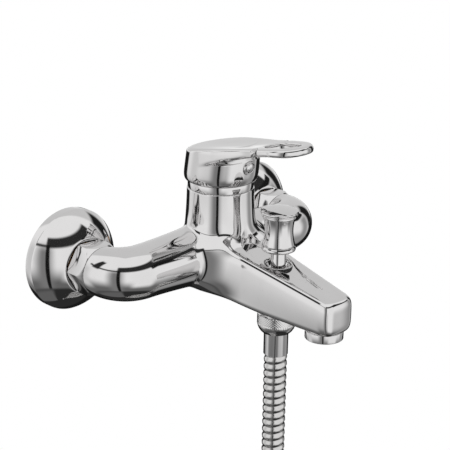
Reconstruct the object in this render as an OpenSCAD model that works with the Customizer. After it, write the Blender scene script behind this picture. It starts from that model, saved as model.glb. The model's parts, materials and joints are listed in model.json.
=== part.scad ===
// Wall-mounted single-lever bath mixer with a pull-up diverter and a shower hose.
// X runs along the wall, +Y goes into the wall and +Z is up.
// The origin lies on the wall, midway between the axes of the two wall threads.
// All sizes are in millimetres and all angles in degrees.

/* [Wall side] */
// Distance between the two inlets
inlet_spacing = 150; // [140:1:165]
// Height of the mixer's inlets above the wall threads, made by the eccentric unions
union_offset = 6; // [0:1:9]
// Outside diameter of the wall thread, G1/2
wall_thread_d = 20.96; // [19:0.02:22]
// Length of the wall thread inside the wall
wall_thread_length = 16; // [10:1:24]
// Outside diameter of the union's thread, G3/4
union_thread_d = 26.44; // [25.5:0.02:27]
// Reach of the union from the wall to its sealing face
union_reach = 24; // [22:0.5:30]
// Bore of the union and of the inlet tail
inlet_bore_d = 13; // [10:0.5:15]
// Outside diameter of the wall plate
plate_d = 61.2; // [56:0.2:70]
// Height of the wall plate's straight rim
plate_rim = 5.4; // [3:0.2:7]
// Height of the wall plate from the wall to its neck
plate_height = 19.6; // [17:0.2:20]
// Sheet thickness of the wall plate
plate_sheet = 1.2; // [0.8:0.1:1.6]
// Distance across the flats of the union nut
nut_flats = 29; // [29:0.5:34]
// Length of the union nut
nut_length = 12; // [11:0.5:14]
// Thickness of the filter washer
filter_washer_thickness = 2; // [1.5:0.1:3]

/* [Body] */
// Distance from the wall to the tower's axis
tower_reach = 53; // [50:0.5:60]
// Diameter at the top of the tower
tower_d = 40; // [39.5:0.1:42]
// Height of the tower's rim above the inlet axis
tower_height = 40.8; // [39:0.2:46]
// Diameter of the arms at the elbows
arm_d = 30.8; // [28:0.2:31]
// Radius of the elbows' centre line
elbow_radius = 15.8; // [15.6:0.1:18]
// Diameter of the arms where they meet the tower
root_d = 37.6; // [36:0.2:40]
// Diameter of the waterways in the arms
arm_bore_d = 12; // [9:0.5:13]
// Height of the cartridge's seat above the inlet axis
seat_height = 12; // [10.5:0.5:13]
// Diameter of the cartridge
cartridge_d = 35; // [34:0.1:35.4]
// Height of the spout's top at the tower
spout_top_root = 15; // [12:0.5:16]
// Height of the spout's top above the outlet
spout_top_tip = -2.5; // [-5:0.5:0]
// Depth of the spout's underside below the inlet axis at the tower
spout_depth_root = 23; // [21:0.5:26]
// Depth of the spout's underside below the inlet axis at the outlet
spout_depth_tip = 25.4; // [24:0.2:28]
// Half width of the spout's top at the tower
spout_half_root = 19; // [16:0.5:20]
// Half width of the shoulder where it runs into the arms
shoulder_width = 26.5; // [24:0.5:28]
// Half width of the spout's top at the outlet
spout_half_tip = 12; // [11.5:0.5:14]
// Depth of the boat-shaped recess on the spout
recess_depth = 1.2; // [0.5:0.1:2]
// Half width of the recess around the diverter
recess_half = 9.6; // [9.2:0.1:11]

/* [Lever] */
// Radius of the lever's skirt at its lower rim
skirt_rim_r = 21; // [20.6:0.1:22]
// Radius of the lever's skirt at its widest
skirt_r = 22.2; // [21.6:0.1:23]
// Radius of the hollow inside the skirt
skirt_bore_r = 20; // [19.9:0.05:20.3]
// Radius of the lever's rounded tip
leaf_tip_r = 15.6; // [13:0.2:18]
// Reach of the tip's centre from the tower's axis
leaf_reach = 51.6; // [44:0.2:60]
// Height of the leaf's top above the inlet axis at the tower
leaf_height = 67.6; // [66:0.2:72]
// Upward slope of the leaf towards its tip
leaf_slope = 10; // [6:0.5:14]
// Thickness of the leaf beside the skirt
leaf_thickness = 3; // [2.8:0.2:5]
// Thickness of the leaf at its tip
tip_thickness = 5.8; // [5:0.2:8]
// Length of the finger loop's hole
loop_length = 22; // [16:1:26]
// Width of the finger loop's hole
loop_width = 17; // [12:0.5:19]
// Forward lean of the spindle when the mixer is closed
closed_lean = 12.5; // [10:0.5:14]
// Diameter of the index button
button_d = 8.4; // [6:0.2:9]

/* [Diverter] */
// Distance from the wall to the diverter's axis
diverter_reach = 101; // [98:0.5:104]
// Travel of the diverter
diverter_travel = 7; // [5:0.5:7]
// Diameter of the knob's cap
knob_d = 22.4; // [20:0.2:24]
// Diameter of the knob's waist
knob_waist_d = 16.6; // [15:0.2:18]
// Diameter of the knob's foot
knob_foot_d = 20; // [18:0.2:21]
// Height of the knob
knob_height = 25.5; // [23:0.5:28]
// Diameter of the diverter's chamber
chamber_d = 17; // [16:0.2:17.6]
// Diameter of the diverter's stem
stem_d = 5; // [4:0.2:6]
// Outside diameter of the guide sleeve under the knob
guide_d = 8.8; // [8.4:0.2:10]

/* [Outlet] */
// Distance from the wall to the outlet's axis
outlet_reach = 138; // [134:0.5:144]
// Outside diameter of the aerator's housing
aerator_d = 22.2; // [21.6:0.2:23.4]
// Length of the aerator that shows under the spout
aerator_drop = 5.2; // [4:0.2:8]
// Outside diameter of the aerator's thread
aerator_thread_d = 20.4; // [20:0.2:21]

/* [Hose] */
// Outside diameter of the hose's thread, G1/2
hose_thread_d = 20.96; // [20.5:0.02:21.4]
// Largest diameter of the hose nut
hose_nut_d = 23; // [23:0.2:25]
// Length of the hose nut
hose_nut_length = 12.5; // [12:0.5:15]
// Outside diameter of the ferrule
ferrule_d = 14.6; // [14.2:0.2:16]
// Outside diameter of the hose over its ribs
hose_d = 14; // [13:0.2:14]
// Diameter of the hose in the grooves between its ribs
hose_groove_d = 12.4; // [11.6:0.2:12.6]
// Bore of the hose
hose_bore_d = 8; // [7:0.2:9]
// Distance from one rib to the next
rib_pitch = 4.6; // [4:0.2:8]
// Turns in the coil
coil_turns = 3; // [2:1:4]
// Radius of the coil's centre line
coil_radius = 62; // [58:1:75]
// Step from one turn to the next
coil_step = 16; // [15:0.5:18]

/* [Hidden] */
$fn = 64;

chrome = "Gainsboro";
brass = "DarkKhaki";
rubber = "DimGray";
white_plastic = "WhiteSmoke";
grey_plastic = "LightSlateGray";
ceramic = "Ivory";
steel = "Silver";

// Running clearance of shafts and hinge pins in their bores, on the radius
running_fit = 0.05;
// Clearance between parts that are only pushed together, on the radius
push_fit = 0.1;
// Clearance between parts that move past each other
free_gap = 0.3;
// A cut runs past the face that it opens by this much
past = 1;

// Inlet side, measured outwards from the wall along each inlet's axis
washer_face = union_reach + filter_washer_thickness;
tail_flange = 3;
tail_flange_r = 12.4;
tail_r = 9.9;
tail_depth = 9;
nut_start = union_reach - 3.6;
nut_end = nut_start + nut_length;
elbow_start = nut_end + 0.3;
arm_reach = elbow_start + elbow_radius;
tail_end = elbow_start + tail_depth;

// Cartridge, measured upwards from the inlet axis
cavity_r = cartridge_d / 2 + push_fit;
seal_height = 0.8;
base_z = seat_height + seal_height;
base_height = 4;
register_height = 1.2;
disc_z = base_z + base_height + register_height;
fixed_disc_height = 3;
moving_disc_height = 3;
carrier_z = disc_z + fixed_disc_height + moving_disc_height;
carrier_height = 3;
guide_z = carrier_z + carrier_height + 0.2;
guide_flange_height = 3;
neck_z = guide_z + guide_flange_height + 0.2;
shoulder_z = neck_z + 2;
housing_top = neck_z + 7.2;
housing_wall_r = 15.6;
housing_neck_r = 13;
housing_mouth_r = 11.2;
housing_step_r = 14.8;
mouth_z = housing_top - 1.6;
guide_body_r = housing_neck_r - running_fit;
guide_collar_r = housing_mouth_r - free_gap;
guide_top = tower_height + 3.4;
pivot_z = guide_z + 8.2;
port_x = 7.6;
port_y = -2;
port_r = 3.3;
port_sump = 0.6;
mix_y = 8.4;
mix_r = 3.9;
peg_r = 1.5;
peg_offset = 14;
spindle_w = 8;
slot_half = 6.5;
spindle_tip_r = 2.8;
spindle_tip = carrier_z + 0.6 - pivot_z;
ball_arm = spindle_tip + spindle_tip_r;
disc_back = -ball_arm * sin(closed_lean);
pin_r = 1.5;
pin_length = 2 * (guide_collar_r - 0.4);
cartridge_nut_r = 18;

// Trim ring and lever, measured upwards from the inlet axis
ring_height = 4.4;
ring_r = skirt_bore_r - free_gap;
ring_top = tower_height + ring_height;
ring_lip = 1.6;
ring_bore_r = 15.6;
rim_z = ring_top + 0.4;
skirt_ceiling = rim_z + 12;
boss_r = 8;
leaf_back = 2.6;
button_lift = 25.6;
button_face = 18.8;
screw_r = 2.5;
spindle_length = button_lift + screw_r + 0.3;

// Spout, measured upwards from the inlet axis
spout_run = outlet_reach - tower_reach;
shoulder_reach = [62, 71, 86];
shoulder_edge_r = 6;
spout_edge_r = 3;
spout_belly_r = 9;

// Diverter, measured upwards from the inlet axis
lower_seat_z = -16.4;
seal_thickness = 1.5;
valve_height = 2;
valve_z = lower_seat_z + seal_thickness;
valve_top = valve_z + valve_height;
upper_seat_z = valve_top + seal_thickness + diverter_travel;
seat_r = 5.8;
seal_r = 7.2;
cage_wall = 1.3;
cage_top = 1.5;
bonnet_z = spout_top(diverter_reach) - recess_depth;
bonnet_flange = 1.6;
bonnet_flange_r = chamber_d / 2 + 0.4;
guide_end = 12.6;
knob_z = guide_end + 0.3;
spring_r = 4.4;
spring_wire = 0.8;
port_drop_r = 6;

// Waterways in the spout
feed_r = 4.2;
feed_z = lower_seat_z + 5.4;
outlet_chamber_r = 8.6;
outlet_chamber_z = -9;

// Aerator and hose ends, measured upwards from the inlet axis
aerator_seat_recess = 0.4;
underside = aerator_seat_recess - spout_depth_tip;
aerator_thread_length = 7;
aerator_washer_height = 1.6;
nipple_depth = 6;
nipple_bore_r = 7.4;
hose_washer_height = 1.8;
nut_lip = 2.3;
ferrule_flange = 2.2;
ferrule_flange_r = 9.2;
nut_grip = hose_nut_length - nut_lip;
hose_seat_z = spout_bottom(diverter_reach) - 0.8 - nut_grip + ferrule_flange + hose_washer_height;

// Route of the hose, drawn from the diverter's axis at the wall threads' height:
// the points are round numbers chosen by hand
hose_start_z = -46;
hose_points = [[0, 0, -46], [0, 0, -60], [0, 0, -90], [0, 0, -115], [0, 0, -130], [-3.5, 0, -150],
    [-13.5, 0, -167], [-31, 0, -181.5], [-48.5, 0, -196], [-58.5, 0, -213], [-62, 0, -233]];
coil_start = hose_points[len(hose_points) - 1];
coil_straight = 14;
coil_rings = 24;
tail_length = 84;
coil_end = [coil_start[0], coil_start[1] + coil_step * coil_turns, coil_start[2] - 2 * coil_straight];
tail_end_point = coil_end - [0, 0, tail_length];

// Height of the spout's top and of its underside at a distance from the wall
function spout_top(reach) =
    spout_top_root + (spout_top_tip - spout_top_root) * (reach - tower_reach) / spout_run;
function spout_bottom(reach) =
    -spout_depth_root - (spout_depth_tip - spout_depth_root) * (reach - tower_reach) / spout_run;
function spout_half(reach) =
    spout_half_root + (spout_half_tip - spout_half_root) * (reach - tower_reach) / spout_run;

// Places: each moves its children to the axis of one part of the mixer
module at_mixer() translate([0, 0, union_offset]) children();
module at_inlet(side) at_mixer() translate([side * inlet_spacing / 2, 0, 0]) rotate([90, 0, 0]) children();
module at_tower() at_mixer() translate([0, -tower_reach, 0]) children();
module at_diverter() at_mixer() translate([0, -diverter_reach, 0]) children();
module at_outlet() at_mixer() translate([0, -outlet_reach, 0]) children();
module at_hose() translate([0, -diverter_reach, 0]) children();
module at_pivot() at_tower() translate([0, 0, pivot_z]) rotate([closed_lean, 0, 0]) children();

// A straight tube from z1 to z2
module tube(z1, z2, outer_r, inner_r) {
    translate([0, 0, z1]) difference() {
        cylinder(r = outer_r, h = z2 - z1);
        translate([0, 0, -past]) cylinder(r = inner_r, h = z2 - z1 + 2 * past);
    }
}

// A round rod from z1 to z2
module rod(z1, z2, r) translate([0, 0, z1]) cylinder(r = r, h = z2 - z1);

// A cone from z1 to z2
module cone(z1, z2, r1, r2) translate([0, 0, z1]) cylinder(r1 = r1, r2 = r2, h = z2 - z1);

// Eccentric union: wall thread, offset barrel and union thread with one waterway
module eccentric_union(side) {
    bridge = 3;
    barrel = 8;
    color(brass) at_inlet(side) difference() {
        union() {
            translate([0, -union_offset, 0]) rod(-wall_thread_length, 0, wall_thread_d / 2);
            translate([0, -union_offset, 0]) rod(0, barrel, wall_thread_d / 2 + 1.5);
            rod(bridge, union_reach, union_thread_d / 2);
        }
        translate([0, -union_offset, 0]) rod(-wall_thread_length - past, barrel - 2, inlet_bore_d / 2);
        rod(bridge + 1.5, union_reach + past, inlet_bore_d / 2);
    }
}

// Half section of the wall plate: rim, dome and neck
module plate_outline(shrink) {
    rim_r = plate_d / 2;
    top_r = union_thread_d / 2 + 3.6;
    rise = plate_height - plate_rim;
    centre = plate_rim - (rim_r * rim_r - top_r * top_r - rise * rise) / (2 * rise);
    dome_r = norm([rim_r, plate_rim - centre]);
    steps = 14;
    polygon(concat([[0, 0], [rim_r - shrink, 0]],
        [for (i = [0 : steps]) let (z = plate_rim + rise * i / steps - shrink * i / steps)
            [sqrt(pow(dome_r - shrink, 2) - pow(z - centre, 2)), z]],
        [[0, plate_height - shrink]]));
}

// Wall plate: a thin dome whose neck sits on the union's thread
module escutcheon(side) {
    color(chrome) at_inlet(side) difference() {
        rotate_extrude() plate_outline(0);
        translate([0, 0, -0.01]) rotate_extrude() plate_outline(plate_sheet);
        rod(-past, plate_height + past, union_thread_d / 2 + push_fit);
    }
}

// Union nut: hexagon with a coned front, thread and lip that draws the tail to the union
module union_nut(side) {
    corner_r = nut_flats / sqrt(3);
    cone_length = 4;
    front_r = tail_r + 4.6;
    lip = washer_face + tail_flange + 0.2;
    color(chrome) at_inlet(side) difference() {
        intersection() {
            translate([0, 0, nut_start]) rotate([0, 0, -1]) cylinder(r = corner_r, h = nut_length, $fn = 6);
            union() {
                cone(nut_start, nut_start + 1, nut_flats / 2 + 1, corner_r + 0.1);
                rod(nut_start + 1, nut_end - cone_length, corner_r + 0.1);
                cone(nut_end - cone_length, nut_end, corner_r + 0.1, front_r);
            }
        }
        rod(nut_start - past, lip, union_thread_d / 2 + push_fit);
        rod(lip - past, nut_end + past, tail_r + push_fit);
    }
}

// Filter washer: a rubber ring round a fine strainer
module filter_washer(side) {
    strainer = 0.6;
    hole_r = 1.1;
    hole_step = 3.2;
    color(rubber) at_inlet(side) difference() {
        rod(union_reach, washer_face, tail_flange_r - 0.4);
        rod(union_reach + strainer, washer_face + past, inlet_bore_d / 2);
        for (x = [-1 : 1], y = [-1 : 1])
            translate([x * hole_step, y * hole_step, 0]) rod(union_reach - past, washer_face + past, hole_r);
    }
}

// Inlet tail: flange against the washer and thread into the elbow
module inlet_tail(side) {
    color(brass) at_inlet(side) difference() {
        union() {
            rod(washer_face, washer_face + tail_flange, tail_flange_r);
            rod(washer_face + tail_flange, tail_end, tail_r);
        }
        rod(washer_face - past, tail_end + past, inlet_bore_d / 2);
    }
}

// Cross section of the spout: flat top with rounded edges, full round sides
module spout_station(reach, half, edge_r) {
    top = spout_top(reach);
    bottom = spout_bottom(reach);
    bulge = 0.8;
    side_r = min(12, half + bulge, (top - bottom) / 2);
    belly_r = min(spout_belly_r, half);
    thin = 0.1;
    translate([0, -reach, 0]) rotate([90, 0, 0]) linear_extrude(height = thin, center = true) {
        for (s = [-1, 1]) {
            translate([s * (half - edge_r), top - edge_r]) circle(r = edge_r, $fn = 32);
            translate([s * (half + bulge - side_r), (top + bottom) / 2]) circle(r = side_r, $fn = 32);
            translate([s * (half - belly_r), bottom + belly_r]) circle(r = belly_r, $fn = 32);
        }
    }
}

// Shoulders: the spout's sides sweep out to the arms
shoulder_half = [shoulder_width, shoulder_width - 4, spout_half(shoulder_reach[2])];

// Spout: one smooth body from the tower to the rounded tip
module spout_shape() {
    nose = [[0, 0], [6, 0.4], [9.6, 1], [11.4, 2.2], [12.6, 4.4]];
    hull() {
        spout_station(tower_reach, spout_half(tower_reach), spout_edge_r);
        for (p = nose) spout_station(outlet_reach + p[0], spout_half_tip - p[1], spout_edge_r);
    }
    for (s = [0, 1]) hull() {
        spout_station(shoulder_reach[s], shoulder_half[s], shoulder_edge_r);
        spout_station(shoulder_reach[s + 1], shoulder_half[s + 1], s == 0 ? shoulder_edge_r : spout_edge_r);
    }
}

// Body outside: tower with a flared foot, two arms, two elbows and the spout
module body_shape() {
    rim_r = tower_d / 2;
    root_r = root_d / 2;
    arm_r = arm_d / 2;
    arm_end = inlet_spacing / 2 - elbow_radius;
    at_tower() rotate_extrude() polygon([[0, tower_height], [rim_r - 0.4, tower_height], [rim_r, tower_height - 0.4],
        [rim_r + 0.4, 32], [rim_r + 1, 22], [rim_r + 1.7, 14], [rim_r + 2.6, 6], [rim_r + 2.8, -2],
        [rim_r + 1.8, -9], [rim_r - 1.4, -16], [rim_r - 6, -20.6], [rim_r - 12, -22.6], [0, -spout_depth_root]]);
    at_tower() intersection() {
        rotate_extrude() polygon([[0, 0], [rim_r + 10, 0], [rim_r + 10, 8], [rim_r + 6, 9.4], [rim_r + 3.6, 11.2],
            [rim_r + 2.2, 13.6], [rim_r + 1, 18], [0, 18]]);
        translate([5 - spout_half_root, -rim_r - 12, 0]) cube([2 * spout_half_root - 10, rim_r + 12, 20]);
    }
    for (side = [-1, 1]) {
        at_mixer() translate([0, -arm_reach, 0]) rotate([0, side * 90, 0]) rotate_extrude()
            polygon([[0, 0], [root_r + 0.6, 0], [root_r + 0.6, 12], [root_r, 18], [arm_r + (root_r - arm_r) * 0.5, 27],
                [arm_r + (root_r - arm_r) * 0.2, 40], [arm_r, arm_end], [0, arm_end]]);
        at_mixer() translate([side * arm_end, -elbow_start, 0]) rotate([0, 0, side > 0 ? -90 : 180])
            rotate_extrude(angle = 90) translate([elbow_radius, 0]) circle(r = arm_r);
    }
    at_mixer() spout_shape();
}

// Boat-shaped recess on the spout: round at the tower end, pointed at the tip
module recess_cut() {
    slope = atan2(spout_top_root - spout_top_tip, spout_run);
    round_reach = tower_reach + tower_d / 2 + 9;
    point_reach = outlet_reach - 4;
    at_mixer() translate([0, -diverter_reach, bonnet_z]) rotate([slope, 0, 0]) linear_extrude(height = 5) hull() {
        translate([0, diverter_reach - round_reach]) circle(r = recess_half - 1.4);
        circle(r = recess_half);
        translate([0, diverter_reach - point_reach]) circle(r = 1.2);
    }
}

// Body: the brass casting with its cartridge cavity, waterways and threaded seats
module body() {
    arm_r = arm_bore_d / 2;
    arm_end = inlet_spacing / 2 - elbow_radius;
    arm_stop = 6.5;
    arm_y = tower_reach - arm_reach;
    drain_drop = 10;
    drain_run = outlet_reach - diverter_reach;
    color(chrome) difference() {
        body_shape();
        recess_cut();
        at_tower() {
            rod(seat_height, tower_height + past, cavity_r);
            rod(shoulder_z, tower_height + past, cartridge_nut_r);
            for (side = [-1, 1]) {
                translate([side * port_x, port_y, 0]) rod(-port_r - port_sump, seat_height + past, port_r);
                translate([side * port_x, arm_y, 0]) rotate([90, 0, 0]) rod(0, arm_y - port_y, port_r - port_sump);
                translate([side * peg_offset, 0, 0]) rod(seat_height - 2.4, seat_height + past, peg_r + push_fit);
                translate([0, arm_y, 0]) rotate([0, side * 90, 0]) rod(arm_stop, arm_end, arm_r);
            }
            translate([0, mix_y, 0]) rod(feed_z, seat_height + past, mix_r);
            translate([0, mix_y + 3, feed_z]) rotate([90, 0, 0]) rod(0, diverter_reach - tower_reach + mix_y, feed_r);
        }
        for (side = [-1, 1]) {
            at_mixer() translate([side * arm_end, -elbow_start, 0]) rotate([0, 0, side > 0 ? -90 : 180])
                rotate_extrude(angle = 90) translate([elbow_radius, 0]) circle(r = arm_r);
            at_inlet(side) rod(elbow_start - past, tail_end, tail_r + push_fit);
        }
        at_diverter() {
            rod(lower_seat_z, bonnet_z + past, chamber_d / 2);
            rod(underside - past, lower_seat_z + past, port_drop_r);
            rod(bonnet_z, bonnet_z + 8, bonnet_flange_r);
            rod(underside - past, spout_bottom(diverter_reach) + nipple_depth, hose_thread_d / 2);
            translate([0, 0, 0.6]) rotate([90 + atan2(drain_drop, drain_run), 0, 0]) rod(0, norm([drain_drop, drain_run]), 2.6);
        }
        at_outlet() {
            rod(underside - past, outlet_chamber_z, outlet_chamber_r);
            rod(underside - past, underside, aerator_d / 2 + free_gap);
            rod(underside - past, underside + aerator_thread_length + aerator_washer_height, aerator_thread_d / 2);
        }
    }
}

// Rubber seals under the cartridge, one round each port
module port_seals() {
    wall = 1;
    color(rubber) at_tower() {
        for (side = [-1, 1]) translate([side * port_x, port_y, 0]) tube(seat_height, base_z, port_r + wall, port_r);
        translate([0, mix_y, 0]) tube(seat_height, base_z, mix_r + wall, mix_r);
    }
}

// Ports through the cartridge's base and fixed disc
module port_cuts(z1, z2) {
    for (side = [-1, 1]) translate([side * port_x, port_y, 0]) rod(z1, z2, port_r - 0.4);
    translate([0, mix_y, 0]) rod(z1, z2, mix_r - 0.4);
}

// Cartridge base: plate with ports, register for the housing and two locating pegs
module cartridge_base() {
    color(white_plastic) at_tower() difference() {
        union() {
            rod(base_z, base_z + base_height, cartridge_d / 2);
            rod(base_z + base_height, disc_z, housing_wall_r - push_fit);
            for (side = [-1, 1]) translate([side * peg_offset, 0, 0]) rod(base_z - seal_height - 2.2, base_z, peg_r);
        }
        port_cuts(base_z - past, disc_z + past);
    }
}

// Fixed ceramic disc
module fixed_disc() {
    color(ceramic) at_tower() difference() {
        rod(disc_z, disc_z + fixed_disc_height, 13.6);
        port_cuts(disc_z - past, disc_z + fixed_disc_height + past);
    }
}

// Moving ceramic disc with its mixing chamber, set back in the closed position
module moving_disc() {
    z = disc_z + fixed_disc_height;
    color(ceramic) at_tower() translate([0, disc_back, 0]) difference() {
        rod(z, z + moving_disc_height, 11.4);
        translate([0, 3.5, 0]) rod(z - past, z + 1.8, 7);
    }
}

// Disc carrier: joins the moving disc to the spindle's tip
module disc_carrier() {
    color(grey_plastic) at_tower() translate([0, disc_back, 0]) difference() {
        rod(carrier_z, carrier_z + carrier_height, 12);
        rod(carrier_z + 0.3, carrier_z + carrier_height + past, spindle_tip_r + running_fit);
    }
}

// Cartridge housing: cup with a shoulder for the nut and a mouth for the guide
module cartridge_housing() {
    bottom = base_z + base_height;
    color(white_plastic) at_tower() difference() {
        union() {
            rod(bottom, shoulder_z, cartridge_d / 2);
            rod(shoulder_z, housing_top, housing_step_r);
        }
        rod(bottom - past, neck_z, housing_wall_r);
        rod(neck_z - past, mouth_z, housing_neck_r);
        rod(mouth_z - past, housing_top + past, housing_mouth_r);
        tube(bottom + 4, bottom + 5.6, cartridge_d / 2 + past, cartridge_d / 2 - 1);
    }
}

// Ring seal in the groove round the housing
module housing_o_ring() {
    bottom = base_z + base_height;
    color(rubber) at_tower() tube(bottom + 4.05, bottom + 5.55, cavity_r, cartridge_d / 2 - 1);
}

// Slot through the guide in which the spindle rocks
module guide_slot() {
    w = spindle_w + 2 * free_gap;
    translate([-w / 2, -slot_half, guide_z - past]) cube([w, 2 * slot_half, guide_top - guide_z + 2 * past]);
}

// Lever guide: turns in the housing and carries the spindle's pin
module lever_guide() {
    color(grey_plastic) at_tower() difference() {
        union() {
            rod(guide_z, guide_z + guide_flange_height, housing_wall_r - free_gap);
            rod(guide_z + guide_flange_height, mouth_z - 0.2, guide_body_r);
            rod(mouth_z - 0.2, guide_top, guide_collar_r);
        }
        guide_slot();
        translate([0, 0, pivot_z]) rotate([0, 90, 0]) rod(-housing_neck_r - past, housing_neck_r + past, pin_r);
    }
}

// Steel pin across the guide
module spindle_pin() {
    color(steel) at_tower() translate([0, 0, pivot_z]) rotate([0, 90, 0])
        rod(-pin_length / 2, pin_length / 2, pin_r);
}

// Spindle: square bar above the pin, round tip in the disc carrier
module spindle() {
    w = spindle_w / 2;
    below = 3;
    color(brass) at_pivot() difference() {
        union() {
            translate([-w, -w, -below]) cube([spindle_w, spindle_w, spindle_length + below]);
            rod(ball_arm, -below, spindle_tip_r - 0.5);
            translate([0, 0, ball_arm]) sphere(r = spindle_tip_r);
        }
        rotate([0, 90, 0]) rod(-w - past, w + past, pin_r + running_fit);
    }
}

// Temperature stop: ring on the housing's shoulder
module temperature_stop() {
    color("IndianRed") at_tower() difference() {
        tube(housing_top, housing_top + 1.2, housing_step_r - 0.2, guide_collar_r + free_gap);
        translate([0, housing_step_r, housing_top - past]) cylinder(r = 3, h = 4);
    }
}

// Cartridge nut: threaded ring with six key notches
module cartridge_nut() {
    top = tower_height - 0.2;
    notches = 6;
    color(brass) at_tower() difference() {
        tube(shoulder_z, top, cartridge_nut_r - push_fit, housing_step_r + push_fit);
        for (i = [0 : notches - 1]) rotate([0, 0, i * 360 / notches])
            translate([cartridge_nut_r, 0, top - 1.4]) cylinder(r = 1.8, h = 3);
    }
}

// Trim ring: closes the tower's rim over the nut
module trim_ring() {
    color(chrome) at_tower() rotate_extrude() polygon([[cartridge_nut_r + 0.3, tower_height],
        [ring_r, tower_height], [ring_r, ring_top - 0.7], [ring_r - 0.2, ring_top - 0.2],
        [ring_r - 0.7, ring_top], [ring_bore_r, ring_top], [ring_bore_r, ring_top - ring_lip],
        [cartridge_nut_r + 0.3, ring_top - ring_lip]]);
}

// Slide ring: plastic bush between the trim ring and the guide's collar
module slide_ring() {
    bottom = housing_top + 1.2;
    bore_r = guide_collar_r + free_gap;
    color(white_plastic) at_tower() {
        tube(bottom, tower_height, housing_step_r - push_fit, bore_r);
        tube(tower_height, ring_top - free_gap, ring_bore_r - push_fit, bore_r);
    }
}

// Moves its children to the leaf's top plane at the tower's axis
module at_leaf() at_tower() translate([0, -leaf_back, leaf_height]) rotate([-leaf_slope, 0, 0]) children();

// Lever outside: leaning skirt under a leaf that narrows to a round tip
module lever_shape() {
    thin = 0.2;
    edge = 0.8;
    hull() {
        at_tower() rod(rim_z, rim_z + thin, skirt_rim_r);
        at_tower() translate([0, -0.1, 0]) rod(rim_z + 4, rim_z + 4 + thin, skirt_r);
        at_leaf() rod(-leaf_thickness - thin, -leaf_thickness, skirt_r - 0.6);
    }
    hull() {
        at_leaf() rod(-leaf_thickness, -edge, skirt_r - 0.6);
        at_leaf() rod(-edge, 0, skirt_r - 1.2);
        at_leaf() translate([0, leaf_back - leaf_reach, 0]) {
            rod(-tip_thickness, -tip_thickness + thin, leaf_tip_r - 1.6);
            rod(-tip_thickness + 1.6, -edge, leaf_tip_r);
            rod(-edge, 0, leaf_tip_r - edge);
        }
    }
}

// Finger loop's hole, an oval prism
module loop_cut() {
    r = loop_width / 2;
    along = (loop_length - loop_width) / 2;
    centre = leaf_back - leaf_reach + 1.8;
    at_leaf() translate([0, centre, 0]) {
        for (s = [-1, 1]) translate([0, s * along, 0]) rod(-tip_thickness - past, past, r);
        translate([-r, -along, -tip_thickness - past]) cube([loop_width, 2 * along, tip_thickness + 2 * past]);
    }
}

// Wedge under the leaf that parts it from the skirt's front
module undercut() {
    core_r = 17.6;
    at_tower() difference() {
        rotate([90, 0, -90]) translate([0, 0, -30]) linear_extrude(height = 60)
            polygon([[10, 60.3], [16, 59.3], [20, 60.4], [32, 64.2], [32, 67.4]]);
        translate([0, -leaf_back, 0]) rod(50, 70, core_r);
    }
}

// Moves its children to the index button's axis, which points out of the skirt
module at_button() at_pivot() translate([0, 0, button_lift]) rotate([90, 0, 0]) children();

// Shallow dish in the lever's top
module dish_cut() {
    dish_r = 90;
    depth = 1.4;
    at_leaf() translate([0, -14, dish_r - depth]) sphere(r = dish_r);
}

// Lever: hollow skirt, socket for the spindle, leaf with its finger loop
module lever() {
    w = spindle_w / 2 + running_fit;
    color(chrome) difference() {
        union() {
            difference() {
                lever_shape();
                at_tower() rod(rim_z - past, skirt_ceiling, skirt_bore_r);
                at_tower() cone(skirt_ceiling - 0.01, skirt_ceiling + 3, skirt_bore_r, skirt_bore_r - 5);
                undercut();
            }
            at_pivot() rod(rim_z - pivot_z + 2.6, button_lift, boss_r);
        }
        loop_cut();
        dish_cut();
        at_pivot() translate([-w, -w, 0]) cube([2 * w, 2 * w, spindle_length + 0.2]);
        at_button() {
            rod(0, button_face, screw_r);
            rod(button_face - 3.6, button_face + 8, button_d / 2 + push_fit);
        }
    }
}

// Grub screw: clamps the lever to the spindle, with a hexagon socket
module grub_screw() {
    length = 7;
    start = spindle_w / 2;
    color(steel) at_button() difference() {
        rod(start, start + length, screw_r - 0.02);
        translate([0, 0, start + length - 3]) cylinder(r = 1.44, h = 4, $fn = 6);
    }
}

// Index button: round cap over the grub screw
module index_button() {
    r = button_d / 2;
    color(chrome) at_button() rotate_extrude() polygon([[0, button_face - 3.6], [r, button_face - 3.6],
        [r, button_face - 0.4], [r - 0.5, button_face], [r - 0.8, button_face - 0.3], [r - 1.4, button_face + 0.4],
        [r - 2.4, button_face + 0.9], [0, button_face + 1.1]]);
}

// Diverter knob: domed cap, two grooves, waist and foot
module diverter_knob() {
    cap_r = knob_d / 2;
    waist_r = knob_waist_d / 2;
    foot_r = knob_foot_d / 2;
    h = knob_height;
    color(chrome) at_diverter() translate([0, 0, knob_z]) difference() {
        rotate_extrude() polygon([[0, 0], [foot_r - 1.4, 0], [foot_r - 0.4, 0.4], [foot_r, 1.4], [foot_r - 0.6, 2.6],
            [foot_r - 0.9, 4.4], [waist_r + 0.6, 8.4], [waist_r, 12.4], [waist_r + 0.3, 15], [waist_r + 1, 17.6],
            [cap_r - 1.8, h - 5.8], [cap_r - 1.8, h - 5.2], [cap_r - 1, h - 5], [cap_r - 1, h - 3.9],
            [cap_r - 1.4, h - 3.7], [cap_r - 1.4, h - 3.2], [cap_r - 0.3, h - 2.8], [cap_r, h - 2],
            [cap_r - 0.5, h - 1.3], [cap_r - 3, h - 0.6], [cap_r - 6.5, h - 0.1], [0, h]]);
        rod(-past, h - 8, stem_d / 2 + running_fit);
    }
}

// Diverter stem: rod from the valve up into the knob
module diverter_stem() {
    color(brass) at_diverter() {
        rod(valve_z, knob_z + knob_height - 8.2, stem_d / 2);
    }
}

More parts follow.
